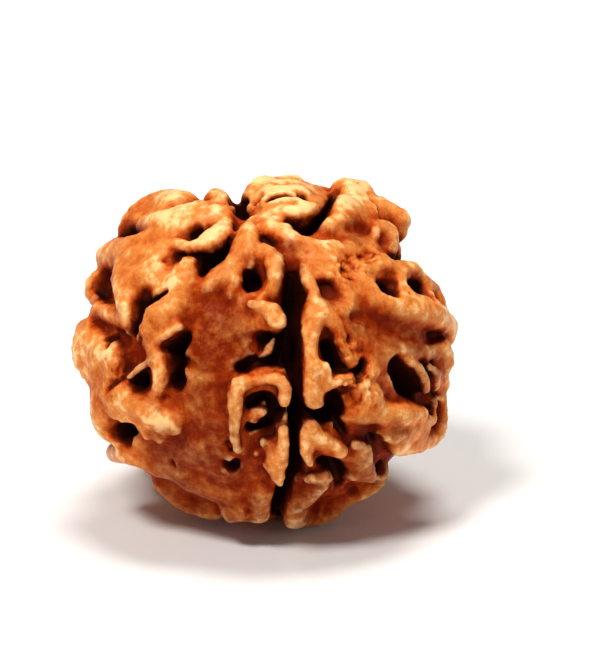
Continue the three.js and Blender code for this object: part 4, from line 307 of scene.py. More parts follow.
# Ridges are the rounded bars of the net.
ridges = {
    "long left ridge": [
        [-9.4, 6.65, 1.6, 0.33], [-8.4, 6.8, 1.5, 0.34], [-7.5, 7.1, 1.45, 0.42],
        [-6, 7.55, 1.3, 0.45], [-4.5, 8.2, 1.2, 0.48], [-3.1, 8.7, 1, 0.42], [-2.1, 8.85, 0.4, 0.24],
    ],
    "nose": [
        [-2.4, 8.3, 0.5, 0.36], [-2.6, 7.6, 1.1, 0.62], [-3.05, 6.95, 1.35, 0.9],
        [-4.3, 6.5, 1.2, 0.44], [-5.4, 6.55, 1.1, 0.5],
    ],
    "left ring rim": [
        [-10.2, 5, 1.3, 0.4], [-10.9, 4.3, 1.2, 0.42], [-10.95, 3.7, 1.2, 0.4],
        [-10.55, 3.1, 1.1, 0.38], [-10.2, 2.6, 1, 0.45],
    ],
    "front ridge": [
        [-0.9, 8.2, 0.35, 0.2], [-1.1, 7.5, 0.9, 0.58], [-1.15, 6.7, 1.15, 0.83],
        [-1.05, 6, 1.15, 0.68], [-0.95, 5.45, 0.9, 0.4],
    ],
    "front ridge left foot": [
        [-1.6, 6.5, 1, 0.5], [-2.1, 5.4, 0.95, 0.55], [-2.8, 4.6, 0.85, 0.75], [-3.4, 4, 0.75, 0.7],
    ],
    "front ridge inner foot": [[-1.9, 5.2, 0.8, 0.45], [-1.85, 4.4, 0.7, 0.42], [-2.1, 3.6, 0.5, 0.4]],
    "window post": [
        [-0.1, 6.35, 0.9, 0.4], [0.5, 5.7, 1.2, 0.62], [0.6, 4.8, 1.2, 0.56], [0.45, 4.2, 0.9, 0.42],
        [0, 3.65, 0.6, 0.2], [-0.4, 3.3, 0.5, 0.2],
    ],
    "window post foot": [[0.5, 4, 0.6, 0.42], [0.4, 3.4, 0.4, 0.35]],
    "right crest from the hole": [
        [-0.5, 8.2, 0.2, 0.2], [0.2, 7.75, 0.7, 0.55], [0.9, 7.2, 0.9, 0.65], [2.1, 6.8, 0.8, 0.5],
        [3.4, 6.55, 0.8, 0.4], [4.3, 6.6, 0.8, 0.36],
    ],
    "lower band": [[1.9, 5.75, 0.5, 0.34], [3.2, 5.6, 0.7, 0.4], [4.2, 5.5, 0.7, 0.4]],
    "crown petal": [
        [-0.3, 8.5, 0.2, 0.2], [0.9, 8.62, 0.9, 0.52], [1.9, 8.55, 1.1, 0.58], [2.8, 8.85, 1, 0.52],
        [3.55, 9.6, 0.8, 0.42],
    ],
    "crown crest": [
        [-0.5, 8.72, 0.1, 0.12], [0.3, 9.22, 0.95, 0.18], [1.2, 9.45, 1.27, 0.2], [2, 9.4, 1.22, 0.2],
        [2.5, 9.1, 1, 0.18],
    ],
    "crown fold": [
        [-0.6, 8.85, 0.1, 0.1], [-0.2, 9.4, 0.8, 0.14], [0.4, 9.75, 1.12, 0.16],
        [1.3, 9.85, 1.25, 0.18], [1.75, 9.7, 1.2, 0.14],
    ],
    "crown second": [
        [-0.6, 9.1, 0.1, 0.14], [-0.2, 9.8, 0.7, 0.22], [0.5, 10.15, 0.95, 0.28],
        [1.5, 10.2, 0.95, 0.32], [2.5, 9.95, 0.8, 0.36],
    ],
    "crown back": [
        [-1.05, 8.95, 0.3, 0.34], [-0.98, 9.65, 0.75, 0.5], [-0.35, 10.35, 1.3, 0.6],
        [0.7, 10.45, 1.15, 0.5], [1.8, 10.5, 1.35, 0.55], [2.6, 9.85, 0.7, 0.42],
        [3.6, 9.65, 0.6, 0.34],
    ],
    "hook": [
        [6.75, 7.1, 1, 0.3], [6.95, 7.7, 1.3, 0.38], [7.5, 7.85, 1.4, 0.36], [8, 7.55, 1.4, 0.22],
        [7.95, 6.9, 1.2, 0.2], [7.75, 6.4, 1, 0.18],
    ],
    "below the hook": [[8, 6.4, 0.8, 0.3], [8.15, 5.95, 0.7, 0.34]],
    "brow": [
        [7.4, 5.4, 0.9, 0.35], [8.2, 5.25, 1.1, 0.42], [9.2, 5.1, 1.3, 0.45], [9.6, 4.6, 1.2, 0.4],
    ],
    "bridge": [[8.4, 4.7, 1.1, 0.34], [8.5, 4.1, 1.2, 0.36], [8.7, 3.5, 1.2, 0.45]],
    "outer bar": [
        [9.85, 4.15, 1.15, 0.42], [10.3, 3.75, 1.3, 0.55], [10.65, 3.2, 1.4, 0.5],
        [10.9, 2.7, 1.3, 0.35],
    ],
    "pit lip": [
        [8.8, -0.5, 0.7, 0.22], [9.45, -0.95, 0.9, 0.28], [9.8, -1.6, 1, 0.32], [9.9, -2.3, 0.9, 0.3],
    ],
    "side rib one": [[10.1, -0.9, 0.9, 0.22], [10.6, -1.3, 1.1, 0.2], [10.6, -2.2, 1, 0.2]],
    "side rib two": [[11.1, -1.1, 1.2, 0.28], [11.15, -2.1, 1.2, 0.32], [10.8, -2.55, 1, 0.22]],
    "side tooth": [[10.5, -2.85, 0.9, 0.16], [11, -2.9, 1, 0.16]],
    "slot tooth": [[9.9, -4.2, 1.2, 0.2], [10.4, -4.25, 1.3, 0.2]],
    "furrow ridge": [
        [2.4, 5.1, 0.8, 0.42], [2.6, 4.4, 1, 0.46], [2.95, 3.7, 0.9, 0.42], [3, 3, 1, 0.58],
        [3, 2.2, 1.15, 0.87], [2.78, 1.3, 1.1, 0.6], [2.8, 0.3, 1, 0.46], [2.82, -0.6, 1, 0.46],
        [2.8, -1.5, 1.1, 0.52], [2.75, -2.4, 1.1, 0.48], [2.85, -3, 1, 0.46],
    ],
    "furrow ridge arm": [
        [3.5, 2.4, 0.95, 0.55], [4.15, 1.8, 0.8, 0.48], [4.5, 1, 0.65, 0.4], [4.75, 0.3, 0.6, 0.4],
        [5.1, -0.3, 0.6, 0.42], [5.25, -0.7, 0.5, 0.3],
    ],
    "furrow ridge knob": [
        [2.95, -0.95, 1.1, 0.4], [3.6, -0.95, 1.1, 0.38], [3.8, -1.5, 1, 0.36], [3.7, -2.1, 0.9, 0.36],
        [4.4, -1.75, 0.85, 0.42], [5.1, -1.75, 0.85, 0.45],
    ],
    "furrow ridge face": [[3.3, -1.6, 0.75, 0.45]],
    "furrow ridge heel": [[3.2, -2.5, 0.9, 0.34], [3.2, -3, 0.9, 0.36]],
    "dent rim": [[3.2, 4.7, 0.7, 0.45], [4.1, 4.7, 0.85, 0.45], [4.75, 4.1, 0.8, 0.4]],
    "dent sill": [[3.5, 2.85, 0.8, 0.4], [4.3, 2.7, 0.75, 0.45]],
    "fork left": [
        [2.75, -4.45, 0.8, 0.34], [2.5, -5.1, 1, 0.4], [2.5, -6.1, 1, 0.42], [2.75, -6.9, 0.9, 0.22],
    ],
    "fork right": [
        [2.85, -4.7, 0.9, 0.36], [3.4, -5.2, 1, 0.42], [4.1, -5.6, 0.9, 0.4], [4.65, -6.1, 1, 0.46],
    ],
    "low knob": [[2.8, -7.75, 0.95, 0.42], [3.65, -7.75, 1.05, 0.48]],
    "post head": [
        [5.5, -5.7, 0.7, 0.35], [6.2, -6, 0.8, 0.28], [6.4, -7, 0.9, 0.28], [6.65, -7.9, 0.9, 0.25],
    ],
    "post foot": [[5.4, -7.5, 0.8, 0.45], [6.3, -7.7, 0.85, 0.4]],
    "knuckle": [
        [-0.95, 2.98, 0.75, 0.24], [-0.25, 2.8, 0.95, 0.4], [0.4, 2.45, 1.1, 0.62],
        [0.72, 1.95, 1.1, 0.6],
    ],
    "knuckle root": [[-0.3, 2.3, 0.3, 0.45], [-1.2, 1.9, 0.2, 0.4], [-1.6, 1.3, 0.1, 0.3]],
    "hollow flake": [[-0.35, -0.28, -0.5, 0.12], [0.15, 0.1, -0.15, 0.3], [0.5, 0.8, -0.35, 0.13]],
    "hollow lip": [[-1.5, 1.15, 0.2, 0.12], [-1, 1.5, 0.2, 0.14], [-0.6, 1.75, 0.1, 0.12]],
    "arch left": [
        [-1.65, -1.95, 0.9, 0.45], [-1.9, -2.8, 1, 0.5], [-1.85, -3.8, 0.9, 0.42],
        [-1.95, -4.8, 0.9, 0.34], [-1.8, -5.7, 0.7, 0.28], [-1.7, -6.1, 0.4, 0.2],
    ],
    "arch top": [
        [-1.4, -1.95, 0.75, 0.42], [-0.6, -1.75, 0.4, 0.34], [0.2, -1.6, 0.7, 0.36],
        [0.95, -1.75, 0.95, 0.42], [1.25, -2.3, 1, 0.42], [1.15, -3, 0.9, 0.4],
    ],
    "arch back": [[-0.2, -1.35, 0, 0.26], [0.6, -1.25, 0, 0.26]],
    "inner arm": [[-0.1, -3, -0.6, 0.16], [-0.35, -3.55, -0.3, 0.2], [-0.68, -4.1, 0, 0.26]],
    "spear": [
        [1.1, -4.75, 0.8, 0.32], [1.1, -5.6, 1, 0.38], [0.9, -6.5, 1, 0.52], [0.7, -7.3, 1, 0.55],
        [0.85, -8.1, 0.8, 0.26],
    ],
    "spear shoulder": [
        [-0.1, -5.55, 0.3, 0.3], [0.35, -5.9, 0.6, 0.4], [0.45, -6.5, 0.8, 0.45],
        [0.2, -6.9, 0.7, 0.36],
    ],
    "floor crumb": [[-0.6, -6.2, 0.1, 0.18]],
    "post": [
        [-7.1, 0.5, 0.6, 0.48], [-6.65, -0.4, 0.95, 0.6], [-6.5, -1.3, 1, 0.52],
        [-6.6, -2.1, 0.9, 0.44], [-6.8, -2.6, 0.7, 0.4],
    ],
    "pit roof": [[-8.45, -1.5, 0.95, 0.18], [-7.8, -0.95, 0.9, 0.2], [-7.2, -0.6, 0.8, 0.2]],
    "hole rim": [
        [-8.9, -4.2, 1.3, 0.16], [-8.3, -4.15, 1.3, 0.16], [-7.7, -4.5, 1.2, 0.16],
        [-7.45, -5.2, 0.9, 0.14],
    ],
    "hole tooth": [[-8, -5.4, 0.7, 0.22], [-8, -5.8, 0.8, 0.25]],
    "pit lip left": [[-6.6, 0.75, 0.8, 0.28], [-6, 1.2, 0.9, 0.26], [-5.4, 1.65, 0.8, 0.3]],
}

# Strokes laid round the poles by longitude (0 right, 90 back, -90 front) and latitude, then
# crest or floor height and half width.
poleLobes = {
    "foot": [[-150, -80, 1, 2], [-30, -80, 1, 2], [90, -78, 1, 2]],
    "foot ring": [
        [-170, -66, 0.6, 1.4], [120, -64, 0.7, 1.4], [50, -64, 0.7, 1.4], [-15, -66, 0.6, 1.4],
    ],
}
poleHollows = {
    "furrow to the lower hole": [[-84, -68, -0.2, 0.24], [-70, -76, 0, 0.26], [-20, -80, 0, 0.3]],
    "cleft behind the hole": [
        [152, 77, -1.1, 0.3], [133, 73, -1.1, 0.3], [120, 68, -1.1, 0.3], [113, 62, -1.1, 0.32],
        [109, 56, -1.1, 0.32], [106, 48, -0.9, 0.3], [104, 40, -0.4, 0.3],
    ],
    "cleft behind the left knob": [[133, 60, -0.6, 0.24], [128, 50, -0.5, 0.26], [130, 38, -0.3, 0.24]],
    "cleft behind the crown": [[52, 62, -0.4, 0.24], [62, 52, -0.7, 0.28], [60, 40, -0.5, 0.28]],
}

# The far side and the underside carry the same net by rule: strokes spread evenly, each a
# short winding walk, low where the far side starts and full further back.
farSide = {
    "seed": 71,
    "lobes": {"count": 30, "level": [0.7, 1.5], "width": [1, 1.6], "steps": 2, "stride": 1.6},
    "hollows": {"count": 64, "level": [-1.5, -0.5], "width": [0.26, 0.5], "steps": 2, "stride": 0.9},
    "ridges": {"count": 58, "level": [0.9, 1.6], "width": [0.4, 0.7], "steps": 5, "stride": 1.25},
    "placesPerStroke": 3,
    "scatter": 25,
    "goldenTurn": 137.508,
    "firstDepth": 1.5,
    "fullDepth": 4,
    "lowestLevel": -0.93,
    "plainWay": {"longitude": 118, "latitude": 60, "span": 0.04},
    "edgeWidthShare": 0.75,
    "edgeCrestShare": 0.4,
    "turn": 0.9,
    "eastPull": 0.6,
}

# How the form is measured: the length of a stroke's bars, how far a raised bar reaches down and
# a hollow reaches out, the line of sight on which a hollow's mouth is sought, how much the
# waves of a swell differ, and lengths too small or too large to matter.
working = {
    "barLength": 0.5,
    "leastWidth": 0.05,
    "dotLength": 0.01,
    "inwardReach": 4.0,
    "outwardReach": 4.5,
    "boxMargin": 0.2,
    "rayFrom": 13,
    "rayTo": -3,
    "rayStep": 0.1,
    "paceSpread": [0.7, 1.4],
    "poleGuard": 0.001,
    "steepShare": 0.02,
    "tiny": 1e-9,
    "farAway": 9.0,
}

viewAngle = math.radians(beadForm["viewElevation"])
acrossWay = np.array([1.0, 0.0, 0.0])
upWay = np.array([0.0, math.sin(viewAngle), math.cos(viewAngle)])
towardWay = np.array([0.0, -math.cos(viewAngle), math.sin(viewAngle)])
semiAxes = np.array([beadForm["wide"], beadForm["wide"], beadForm["tall"]])


def unit(vector):
    return vector / np.linalg.norm(vector)


def clamp(value, low, high):
    return min(max(value, low), high)


drawRule = {"modulus": 2147483647, "pace": 16807, "seedPace": 7919, "seedStart": 12345}


def makeDraw(seed):  # a repeatable draw from 0 to 1
    state = seed * drawRule["seedPace"] + drawRule["seedStart"]

    def draw():
        nonlocal state
        state = state * drawRule["pace"] % drawRule["modulus"]
        return state / drawRule["modulus"]

    return draw


def between(draw, span):
    return span[0] + (span[1] - span[0]) * draw()


def makeWaves(swell):  # crossing waves, a smooth bumpy value
    draw = makeDraw(swell["seed"])
    waves = []
    for _ in range(swell["waves"]):
        level = 2 * draw() - 1
        turn = 2 * math.pi * draw()
        flat = math.sqrt(1 - level * level)
        pace = 2 * math.pi / swell["wavelength"] * between(draw, working["paceSpread"])
        start = 2 * math.pi * draw()
        way = np.array([flat * math.cos(turn), flat * math.sin(turn), level])
        waves.append((way * pace, start))

    def value(x, y, z):
        total = 0
        for rate, start in waves:
            total = total + np.sin(x * rate[0] + y * rate[1] + z * rate[2] + start)
        return swell["height"] * total / math.sqrt(swell["waves"])

    return value


broadWaves = makeWaves(beadForm["broadSwell"])
fineWaves = makeWaves(beadForm["fineSwell"])


def coreDistance(x, y, z):  # to the round body with its low swellings, negative inside
    wide, tall = beadForm["wide"], beadForm["tall"]
    outer = np.sqrt((x / wide) ** 2 + (y / wide) ** 2 + (z / tall) ** 2)
    slope = np.sqrt((x / wide**2) ** 2 + (y / wide**2) ** 2 + (z / tall**2) ** 2)
    distance = outer * (outer - 1) / (slope + working["tiny"])
    return distance - broadWaves(x, y, z) - fineWaves(x, y, z)


def bodyRadius(ways):  # from the middle to the round body, along each direction
    return 1 / np.sqrt(((ways / semiAxes) ** 2).sum(-1))


def raisedPoint(way, height):
    return way * (bodyRadius(way) + height)


def viewPoint(across, up, depth):
    return acrossWay * across + upWay * up + towardWay * depth


def seen(across, up, level):  # the point of the body, raised by level, that shows there
    wide = (beadForm["wide"] + level) ** 2
    tall = (beadForm["tall"] + level) ** 2
    sine, cosine = math.sin(viewAngle), math.cos(viewAngle)
    a = cosine**2 / wide + sine**2 / tall
    b = 2 * up * sine * cosine * (1 / tall - 1 / wide)
    c = across**2 / wide + up**2 * (sine**2 / wide + cosine**2 / tall) - 1
    depth = (-b + math.sqrt(max(b * b - 4 * a * c, 0))) / (2 * a)
    return viewPoint(across, up, depth)


def wayAt(longitude, latitude):
    around, above = math.radians(longitude), math.radians(latitude)
    flat = math.cos(above)
    return np.array([flat * math.cos(around), flat * math.sin(around), math.sin(above)])


def alongSurface(way):  # east and north along the surface
    east = unit(np.array([-way[1], way[0], working["poleGuard"]]))
    return east, np.cross(way, east)


def smoothLeast(a, b, blend):
    near = np.maximum(blend - np.abs(a - b), 0) / blend
    return np.minimum(a, b) - near * near * blend / 4


# A stroke is a smooth curve through knots, each a point and a half width, cut into short bars.
def makeStroke(knots):
    path = [np.append(point, width) for point, width in knots]
    fine = []
    for i in range(len(path) - 1):
        start, end = path[i], path[i + 1]
        before = path[i - 1] if i else 2 * start - end
        after = path[i + 2] if i + 2 < len(path) else 2 * end - start
        reach = np.linalg.norm(end[:3] - start[:3])
        count = 1 if len(path) == 2 else max(1, int(reach / working["barLength"] + 0.5))
        fine += [curvePoint(before, start, end, after, j / count) for j in range(count)]
    fine.append(path[-1])
    if len(fine) == 1:
        fine.append(path[0] + working["dotLength"])
    return [makeBar(start, end) for start, end in zip(fine, fine[1:])]


def curvePoint(before, start, end, after, t):
    linear = (end - before) * t
    square = (2 * before - 5 * start + 4 * end - after) * t * t
    cube = (3 * start - before - 3 * end + after) * t**3
    point = 0.5 * (2 * start + linear + square + cube)
    point[3] = max(point[3], working["leastWidth"])
    return point


def makeBar(start, end):
    run = end[:3] - start[:3]
    outward = unit(start[:3] + run / 2)
    level = run - outward * (run @ outward)
    return {
        "start": start[:3],
        "end": end[:3],
        "run": run,
        "pace": level / (level @ level + working["steepShare"] * (run @ run)),
        "outward": outward,
        "widths": (start[3], end[3]),
    }


# Distance to one tapered round bar, its section carried on inward for what stands up and
# outward for a hollow.
def barDistance(x, y, z, bar, inward, neck):
    start, run, pace = bar["start"], bar["run"], bar["pace"]
    along = (x - start[0]) * pace[0] + (y - start[1]) * pace[1] + (z - start[2]) * pace[2]
    along = np.clip(along, 0, 1)
    spot = [start[0] + along * run[0], start[1] + along * run[1], start[2] + along * run[2]]
    gap = [x - spot[0], y - spot[1], z - spot[2]]
    away = np.sqrt(spot[0] ** 2 + spot[1] ** 2 + spot[2] ** 2)
    depth = (gap[0] * spot[0] + gap[1] * spot[1] + gap[2] * spot[2]) / away
    past = np.maximum(-depth if inward else depth, 0)
    radius = bar["widths"][0] + (bar["widths"][1] - bar["widths"][0]) * along
    lateral = np.sqrt(np.maximum(gap[0] ** 2 + gap[1] ** 2 + gap[2] ** 2 - past * past, 0))
    if inward:
        return lateral - radius + radius * neck * np.clip(past / radius, 0, 1)
    return lateral - radius - beadForm["hollowFlare"] * past


def raisedStroke(points):
    knots = [(seen(across, up, crest - width), width) for across, up, crest, width in points]
    return makeStroke(knots)


def poleStroke(points, hollow):
    knots = []
    for longitude, latitude, level, width in points:
        height = level + width if hollow else level - width
        knots.append((raisedPoint(wayAt(longitude, latitude), height), width))
    return makeStroke(knots)


def farStrokes(rule, draw, hollow):  # the strokes of one kind on the far side
    places = farSide["placesPerStroke"] * rule["count"]
    strokes = []
    for i in range(places):
        latitude = math.degrees(math.asin(1 - (2 * i + 1) / places))
        way = wayAt(i * farSide["goldenTurn"] + farSide["scatter"] * draw(), latitude)
        knots = farWalk(rule, draw, way, hollow)
        if len(knots) > 1:
            strokes.append(makeStroke(knots))
    return strokes


def farWalk(rule, draw, way, hollow):
    heading = 2 * math.pi * draw()
    level = between(draw, rule["level"])
    width = between(draw, rule["width"])
    knots = []
    for _ in range(rule["steps"]):
        share = farShare(way)
        if share > 0 and way[2] > farSide["lowestLevel"]:
            knots.append(farKnot(way, level, width, share, hollow))
        east, north = alongSurface(way)
        ahead = east * farSide["eastPull"] * math.cos(heading) + north * math.sin(heading)
        way = unit(way + ahead * rule["stride"] / bodyRadius(way))
        heading += farSide["turn"] * (2 * draw() - 1)
    return knots


def farShare(way):  # how much of the far side's relief a direction carries, none behind the hole
    plain = farSide["plainWay"]
    aside = 1 - way @ wayAt(plain["longitude"], plain["latitude"])
    depth = -(way @ towardWay) * bodyRadius(way)
    fullRun = farSide["fullDepth"] - farSide["firstDepth"]
    share = clamp((depth - farSide["firstDepth"]) / fullRun, 0, 1)
    return share * clamp(aside / plain["span"] - 1, 0, 1)


def farKnot(way, level, width, share, hollow):
    taper = farSide["edgeWidthShare"] + (1 - farSide["edgeWidthShare"]) * share
    crestShare = farSide["edgeCrestShare"] + (1 - farSide["edgeCrestShare"]) * share
    height = level * share + width if hollow else level * crestShare - width * taper
    return raisedPoint(way, height), width * taper


farDraw = makeDraw(farSide["seed"])
lobeStrokes = [raisedStroke(points) for points in lobes.values()]
lobeStrokes += [poleStroke(points, False) for points in poleLobes.values()]
lobeStrokes += farStrokes(farSide["lobes"], farDraw, False)


def lobedDistance(points):  # to the lobed body, before hollows and ridges
    x, y, z = points.T
    distance = coreDistance(x, y, z)
    for stroke in lobeStrokes:
        nearest = np.full(len(points), working["farAway"])
        for bar in stroke:
            facing = points @ bar["outward"] > 0
            gap = np.where(facing, barDistance(x, y, z, bar, True, 0), working["farAway"])
            nearest = np.minimum(nearest, gap)
        distance = smoothLeast(distance, nearest, beadForm["lobeBlend"])
    return distance


# A hollow shows at its mouth, where the view first meets the lobed body, and goes down from
# there towards the middle.
def hollowStrokesOf(strokes):
    depths = np.arange(working["rayFrom"], working["rayTo"], -working["rayStep"])
    places = [(across, up) for points in strokes for across, up, _, _ in points]
    rays = np.array([[viewPoint(across, up, depth) for depth in depths] for across, up in places])
    solid = lobedDistance(rays.reshape(-1, 3)).reshape(len(places), -1) < 0
    mouths = iter(rays[np.arange(len(places)), solid.argmax(1)])
    made = []
    for points in strokes:
        knots = []
        for _, _, level, width in points:
            knots.append((raisedPoint(unit(next(mouths)), level + width), width))
        made.append(makeStroke(knots))
    return made


hollowStrokes = hollowStrokesOf(list(hollows.values()))
hollowStrokes += [poleStroke(points, True) for points in poleHollows.values()]
hollowStrokes += farStrokes(farSide["hollows"], farDraw, True)
ridgeStrokes = [raisedStroke(points) for points in ridges.values()]
ridgeStrokes += farStrokes(farSide["ridges"], farDraw, False)
print("lobes:", len(lobeStrokes), "hollows:", len(hollowStrokes), "ridges:", len(ridgeStrokes))

# The mesh: the form is measured on an even grid, a net of quads is drawn over its surface, and
# the net is thinned to at most a given number of triangles.
beadMesh = {
    "halfSize": 13.0,
    "pitch": 0.13,
    "edgeGuard": 1.001,
    "evenings": 3,
    "eveningShare": 0.5,
    "leastSlope": 0.2,
    "mostTriangles": 196000,
}


def makeGrid():
    steps = int(2 * beadMesh["halfSize"] / beadMesh["pitch"]) + 1
    return np.linspace(-beadMesh["halfSize"], beadMesh["halfSize"], steps, dtype=np.float32)


def spanOf(line, low, high):
    first = max(int(np.searchsorted(line, low)) - 1, 0)
    return first, min(int(np.searchsorted(line, high)) + 1, len(line))


def barSpans(line, bar, inward, reach):  # the part of the grid that a bar can touch
    shift = bar["outward"] * (-working["inwardReach"] if inward else working["outwardReach"])
    ends = np.array([bar["start"], bar["end"], bar["start"] + shift, bar["end"] + shift])
    return [spanOf(line, low, high) for low, high in zip(ends.min(0) - reach, ends.max(0) + reach)]


def joinStroke(field, line, stroke, kind):
    inward = kind != "hollow"
    neck = beadForm["ridgeNeck"] if kind == "ridge" else 0
    blend = beadForm[kind + "Blend"]
    reach = max(max(bar["widths"]) for bar in stroke) + blend + working["boxMargin"]
    if kind == "hollow":
        reach += beadForm["hollowFlare"] * working["outwardReach"]
    spans = [barSpans(line, bar, inward, reach) for bar in stroke]
    low = [min(span[axis][0] for span in spans) for axis in range(3)]
    high = [max(span[axis][1] for span in spans) for axis in range(3)]
    nearest = np.full([b - a for a, b in zip(low, high)], working["farAway"], np.float32)
    for bar, span in zip(stroke, spans):
        x, y, z = (line[a:b] for a, b in span)
        x, y, z = x[:, None, None], y[None, :, None], z[None, None, :]
        distance = barDistance(x, y, z, bar, inward, neck)
        part = nearest[tuple(slice(a - start, b - start) for (a, b), start in zip(span, low))]
        np.minimum(part, distance, out=part)
    here = field[tuple(slice(a, b) for a, b in zip(low, high))]
    if kind == "hollow":
        here[:] = -smoothLeast(-here, nearest, blend)
    else:
        here[:] = smoothLeast(here, nearest, blend)


def holeDistance(x, y, z):  # to the thread hole through both poles
    hole = beadForm["threadHole"]
    way = unit(seen(hole["across"], hole["up"], hole["level"]))
    along = x * way[0] + y * way[1] + z * way[2]
    gap = [x - along * way[0], y - along * way[1], z - along * way[2]]
    return np.sqrt(gap[0] ** 2 + gap[1] ** 2 + gap[2] ** 2) - hole["diameter"] / 2


def measureForm(line):
    x, y, z = line[:, None, None], line[None, :, None], line[None, None, :]
    field = coreDistance(x, y, z).astype(np.float32)
    for kind, strokes in (("lobe", lobeStrokes), ("hollow", hollowStrokes), ("ridge", ridgeStrokes)):
        for stroke in strokes:
            joinStroke(field, line, stroke, kind)
    hole = holeDistance(x, y, z).astype(np.float32)
    field = -smoothLeast(-field, hole, beadForm["holeBlend"])
    return np.maximum(field, -beadForm["flatSpotDepth"] - z)


def valueAt(field, line, points):  # the grid's value at points between its own
    place = np.clip((points - line[0]) / (line[1] - line[0]), 0, len(line) - beadMesh["edgeGuard"])
    base = place.astype(int)
    share = place - base
    total = 0
    for corner in np.ndindex(2, 2, 2):
        weight = np.where(np.array(corner), share, 1 - share).prod(1)
        cell = base + corner
        total = total + weight * field[cell[:, 0], cell[:, 1], cell[:, 2]]
    return total


def slopeAt(field, line, points):
    step = line[1] - line[0]
    rises = []
    for offset in np.eye(3) * step:
        ahead = valueAt(field, line, points + offset)
        rises.append(ahead - valueAt(field, line, points - offset))
    return np.stack(rises, 1) / (2 * step)


# One corner in every grid cell that the surface passes, at the mean of its crossings.
def netCorners(field, line):
    inside = field < 0
    count = np.zeros([n - 1 for n in field.shape], np.int8)
    for corner in np.ndindex(2, 2, 2):
        count += inside[tuple(slice(c, n - 1 + c) for c, n in zip(corner, field.shape))]
    crossed = (count > 0) & (count < 8)
    cells = np.argwhere(crossed)
    number = np.full(crossed.shape, -1, np.int32)
    number[crossed] = np.arange(len(cells))
    total, hits = np.zeros((len(cells), 3)), np.zeros(len(cells))
    for corner in np.ndindex(2, 2, 2):
        for axis in range(3):
            if corner[axis]:
                continue
            start = cells + corner
            end = start + np.eye(3, dtype=int)[axis]
            a, b = field[tuple(start.T)], field[tuple(end.T)]
            crosses = (a < 0) != (b < 0)
            share = np.where(crosses, a / np.where(crosses, a - b, 1), 0)
            spot = np.array(corner, float) + share[:, None] * np.eye(3)[axis]
            total += spot * crosses[:, None]
            hits += crosses
    points = line[0] + (cells + total / hits[:, None]) * (line[1] - line[0])
    return points, number


def netQuads(field, number):  # one quad round every grid edge that the surface cuts
    quads = []
    for axis in range(3):
        one, two = np.eye(3, dtype=int)[[(axis + 1) % 3, (axis + 2) % 3]]
        first, second = [slice(None)] * 3, [slice(None)] * 3
        first[axis], second[axis] = slice(None, -1), slice(1, None)
        starts, ends = field[tuple(first)] < 0, field[tuple(second)] < 0
        spots = np.argwhere(starts != ends)
        around = [number[tuple((spots - shift).T)] for shift in (one * 0, one, one + two, two)]
        quad = np.stack(around, 1)
        outward = starts[tuple(spots.T)]
        quads.append(np.where(outward[:, None], quad, quad[:, ::-1]))
    return np.concatenate(quads)


def evenOut(points, quads, field, line):  # slides corners apart evenly and back on to the form
    ends = np.concatenate([quads[:, [k, (k + 1) % 4]] for k in range(4)])
    for _ in range(beadMesh["evenings"]):
        count = np.bincount(ends[:, 0], minlength=len(points))
        sums = [np.bincount(ends[:, 0], points[ends[:, 1], k], len(points)) for k in range(3)]
        mean = np.stack(sums, 1) / count[:, None]
        points = points + beadMesh["eveningShare"] * (mean - points)
        slope = slopeAt(field, line, points)
        steepness = np.maximum((slope**2).sum(1), beadMesh["leastSlope"])
        rise = valueAt(field, line, points) / steepness
        limit = line[1] - line[0]
        points = points - np.clip(rise, -limit, limit)[:, None] * slope
    return points


def placed(name, data):  # a new object in the scene
    thing = bpy.data.objects.new(name, data)
    bpy.context.collection.objects.link(thing)
    return thing


def thinned(points, quads):
    mesh = bpy.data.meshes.new("bead net")
    mesh.from_pydata(points.tolist(), [], quads.tolist())
    net = placed("beadNet", mesh)
    thin = net.modifiers.new("thin", "DECIMATE")
    thin.ratio = min(1, beadMesh["mostTriangles"] / (2 * len(quads)))
    graph = bpy.context.evaluated_depsgraph_get()
    thinMesh = bpy.data.meshes.new_from_object(net.evaluated_get(graph))
    bpy.data.objects.remove(net)
    return thinMesh


def cornersOf(mesh):
    flat = np.empty(3 * len(mesh.vertices))
    mesh.vertices.foreach_get("co", flat)
    return flat.reshape(-1, 3)


def normalsOf(mesh):
    flat = np.empty(3 * len(mesh.vertices), np.float32)
    mesh.vertex_normals.foreach_get("vector", flat)
    return flat.reshape(-1, 3).astype(float)


# Fine relief that only the finer mesh carries: wrinkles all over, and grains with cracks
# between them on the rough plates, each rough place by across, up and reach.
fineRelief = {
    "wrinkles": {"height": 0.024, "wavelength": 0.85, "waves": 24, "seed": 11},
    "creases": {"height": 0.014, "wavelength": 0.42, "waves": 24, "seed": 12},
    "grainSize": 0.75,
    "grainHeight": 0.14,
    "crackWidth": 0.3,
    "roughPlaces": [
        [5.9, -2.2, 2.0], [5.3, 0.4, 1.2], [5.0, 5.3, 1.5], [6.4, 6.2, 1.2], [-9.2, -0.8, 1.2],
    ],
}


def roughnessAt(points):  # full as far as half the reach of a rough place, none past it
    across, up = points @ acrossWay, points @ upWay
    total = np.zeros(len(points))
    for placeAcross, placeUp, reach in fineRelief["roughPlaces"]:
        away = np.hypot(across - placeAcross, up - placeUp) / reach
        total = np.maximum(total, np.clip(2 - 2 * away, 0, 1))
    return total * (points @ towardWay > 0)


def grainAt(point):  # 0 in the cracks between grains, 1 on the grains
    nearest, second = noise.voronoi(Vector(point) / fineRelief["grainSize"])[0][:2]
    return min((second - nearest) / fineRelief["crackWidth"], 1)


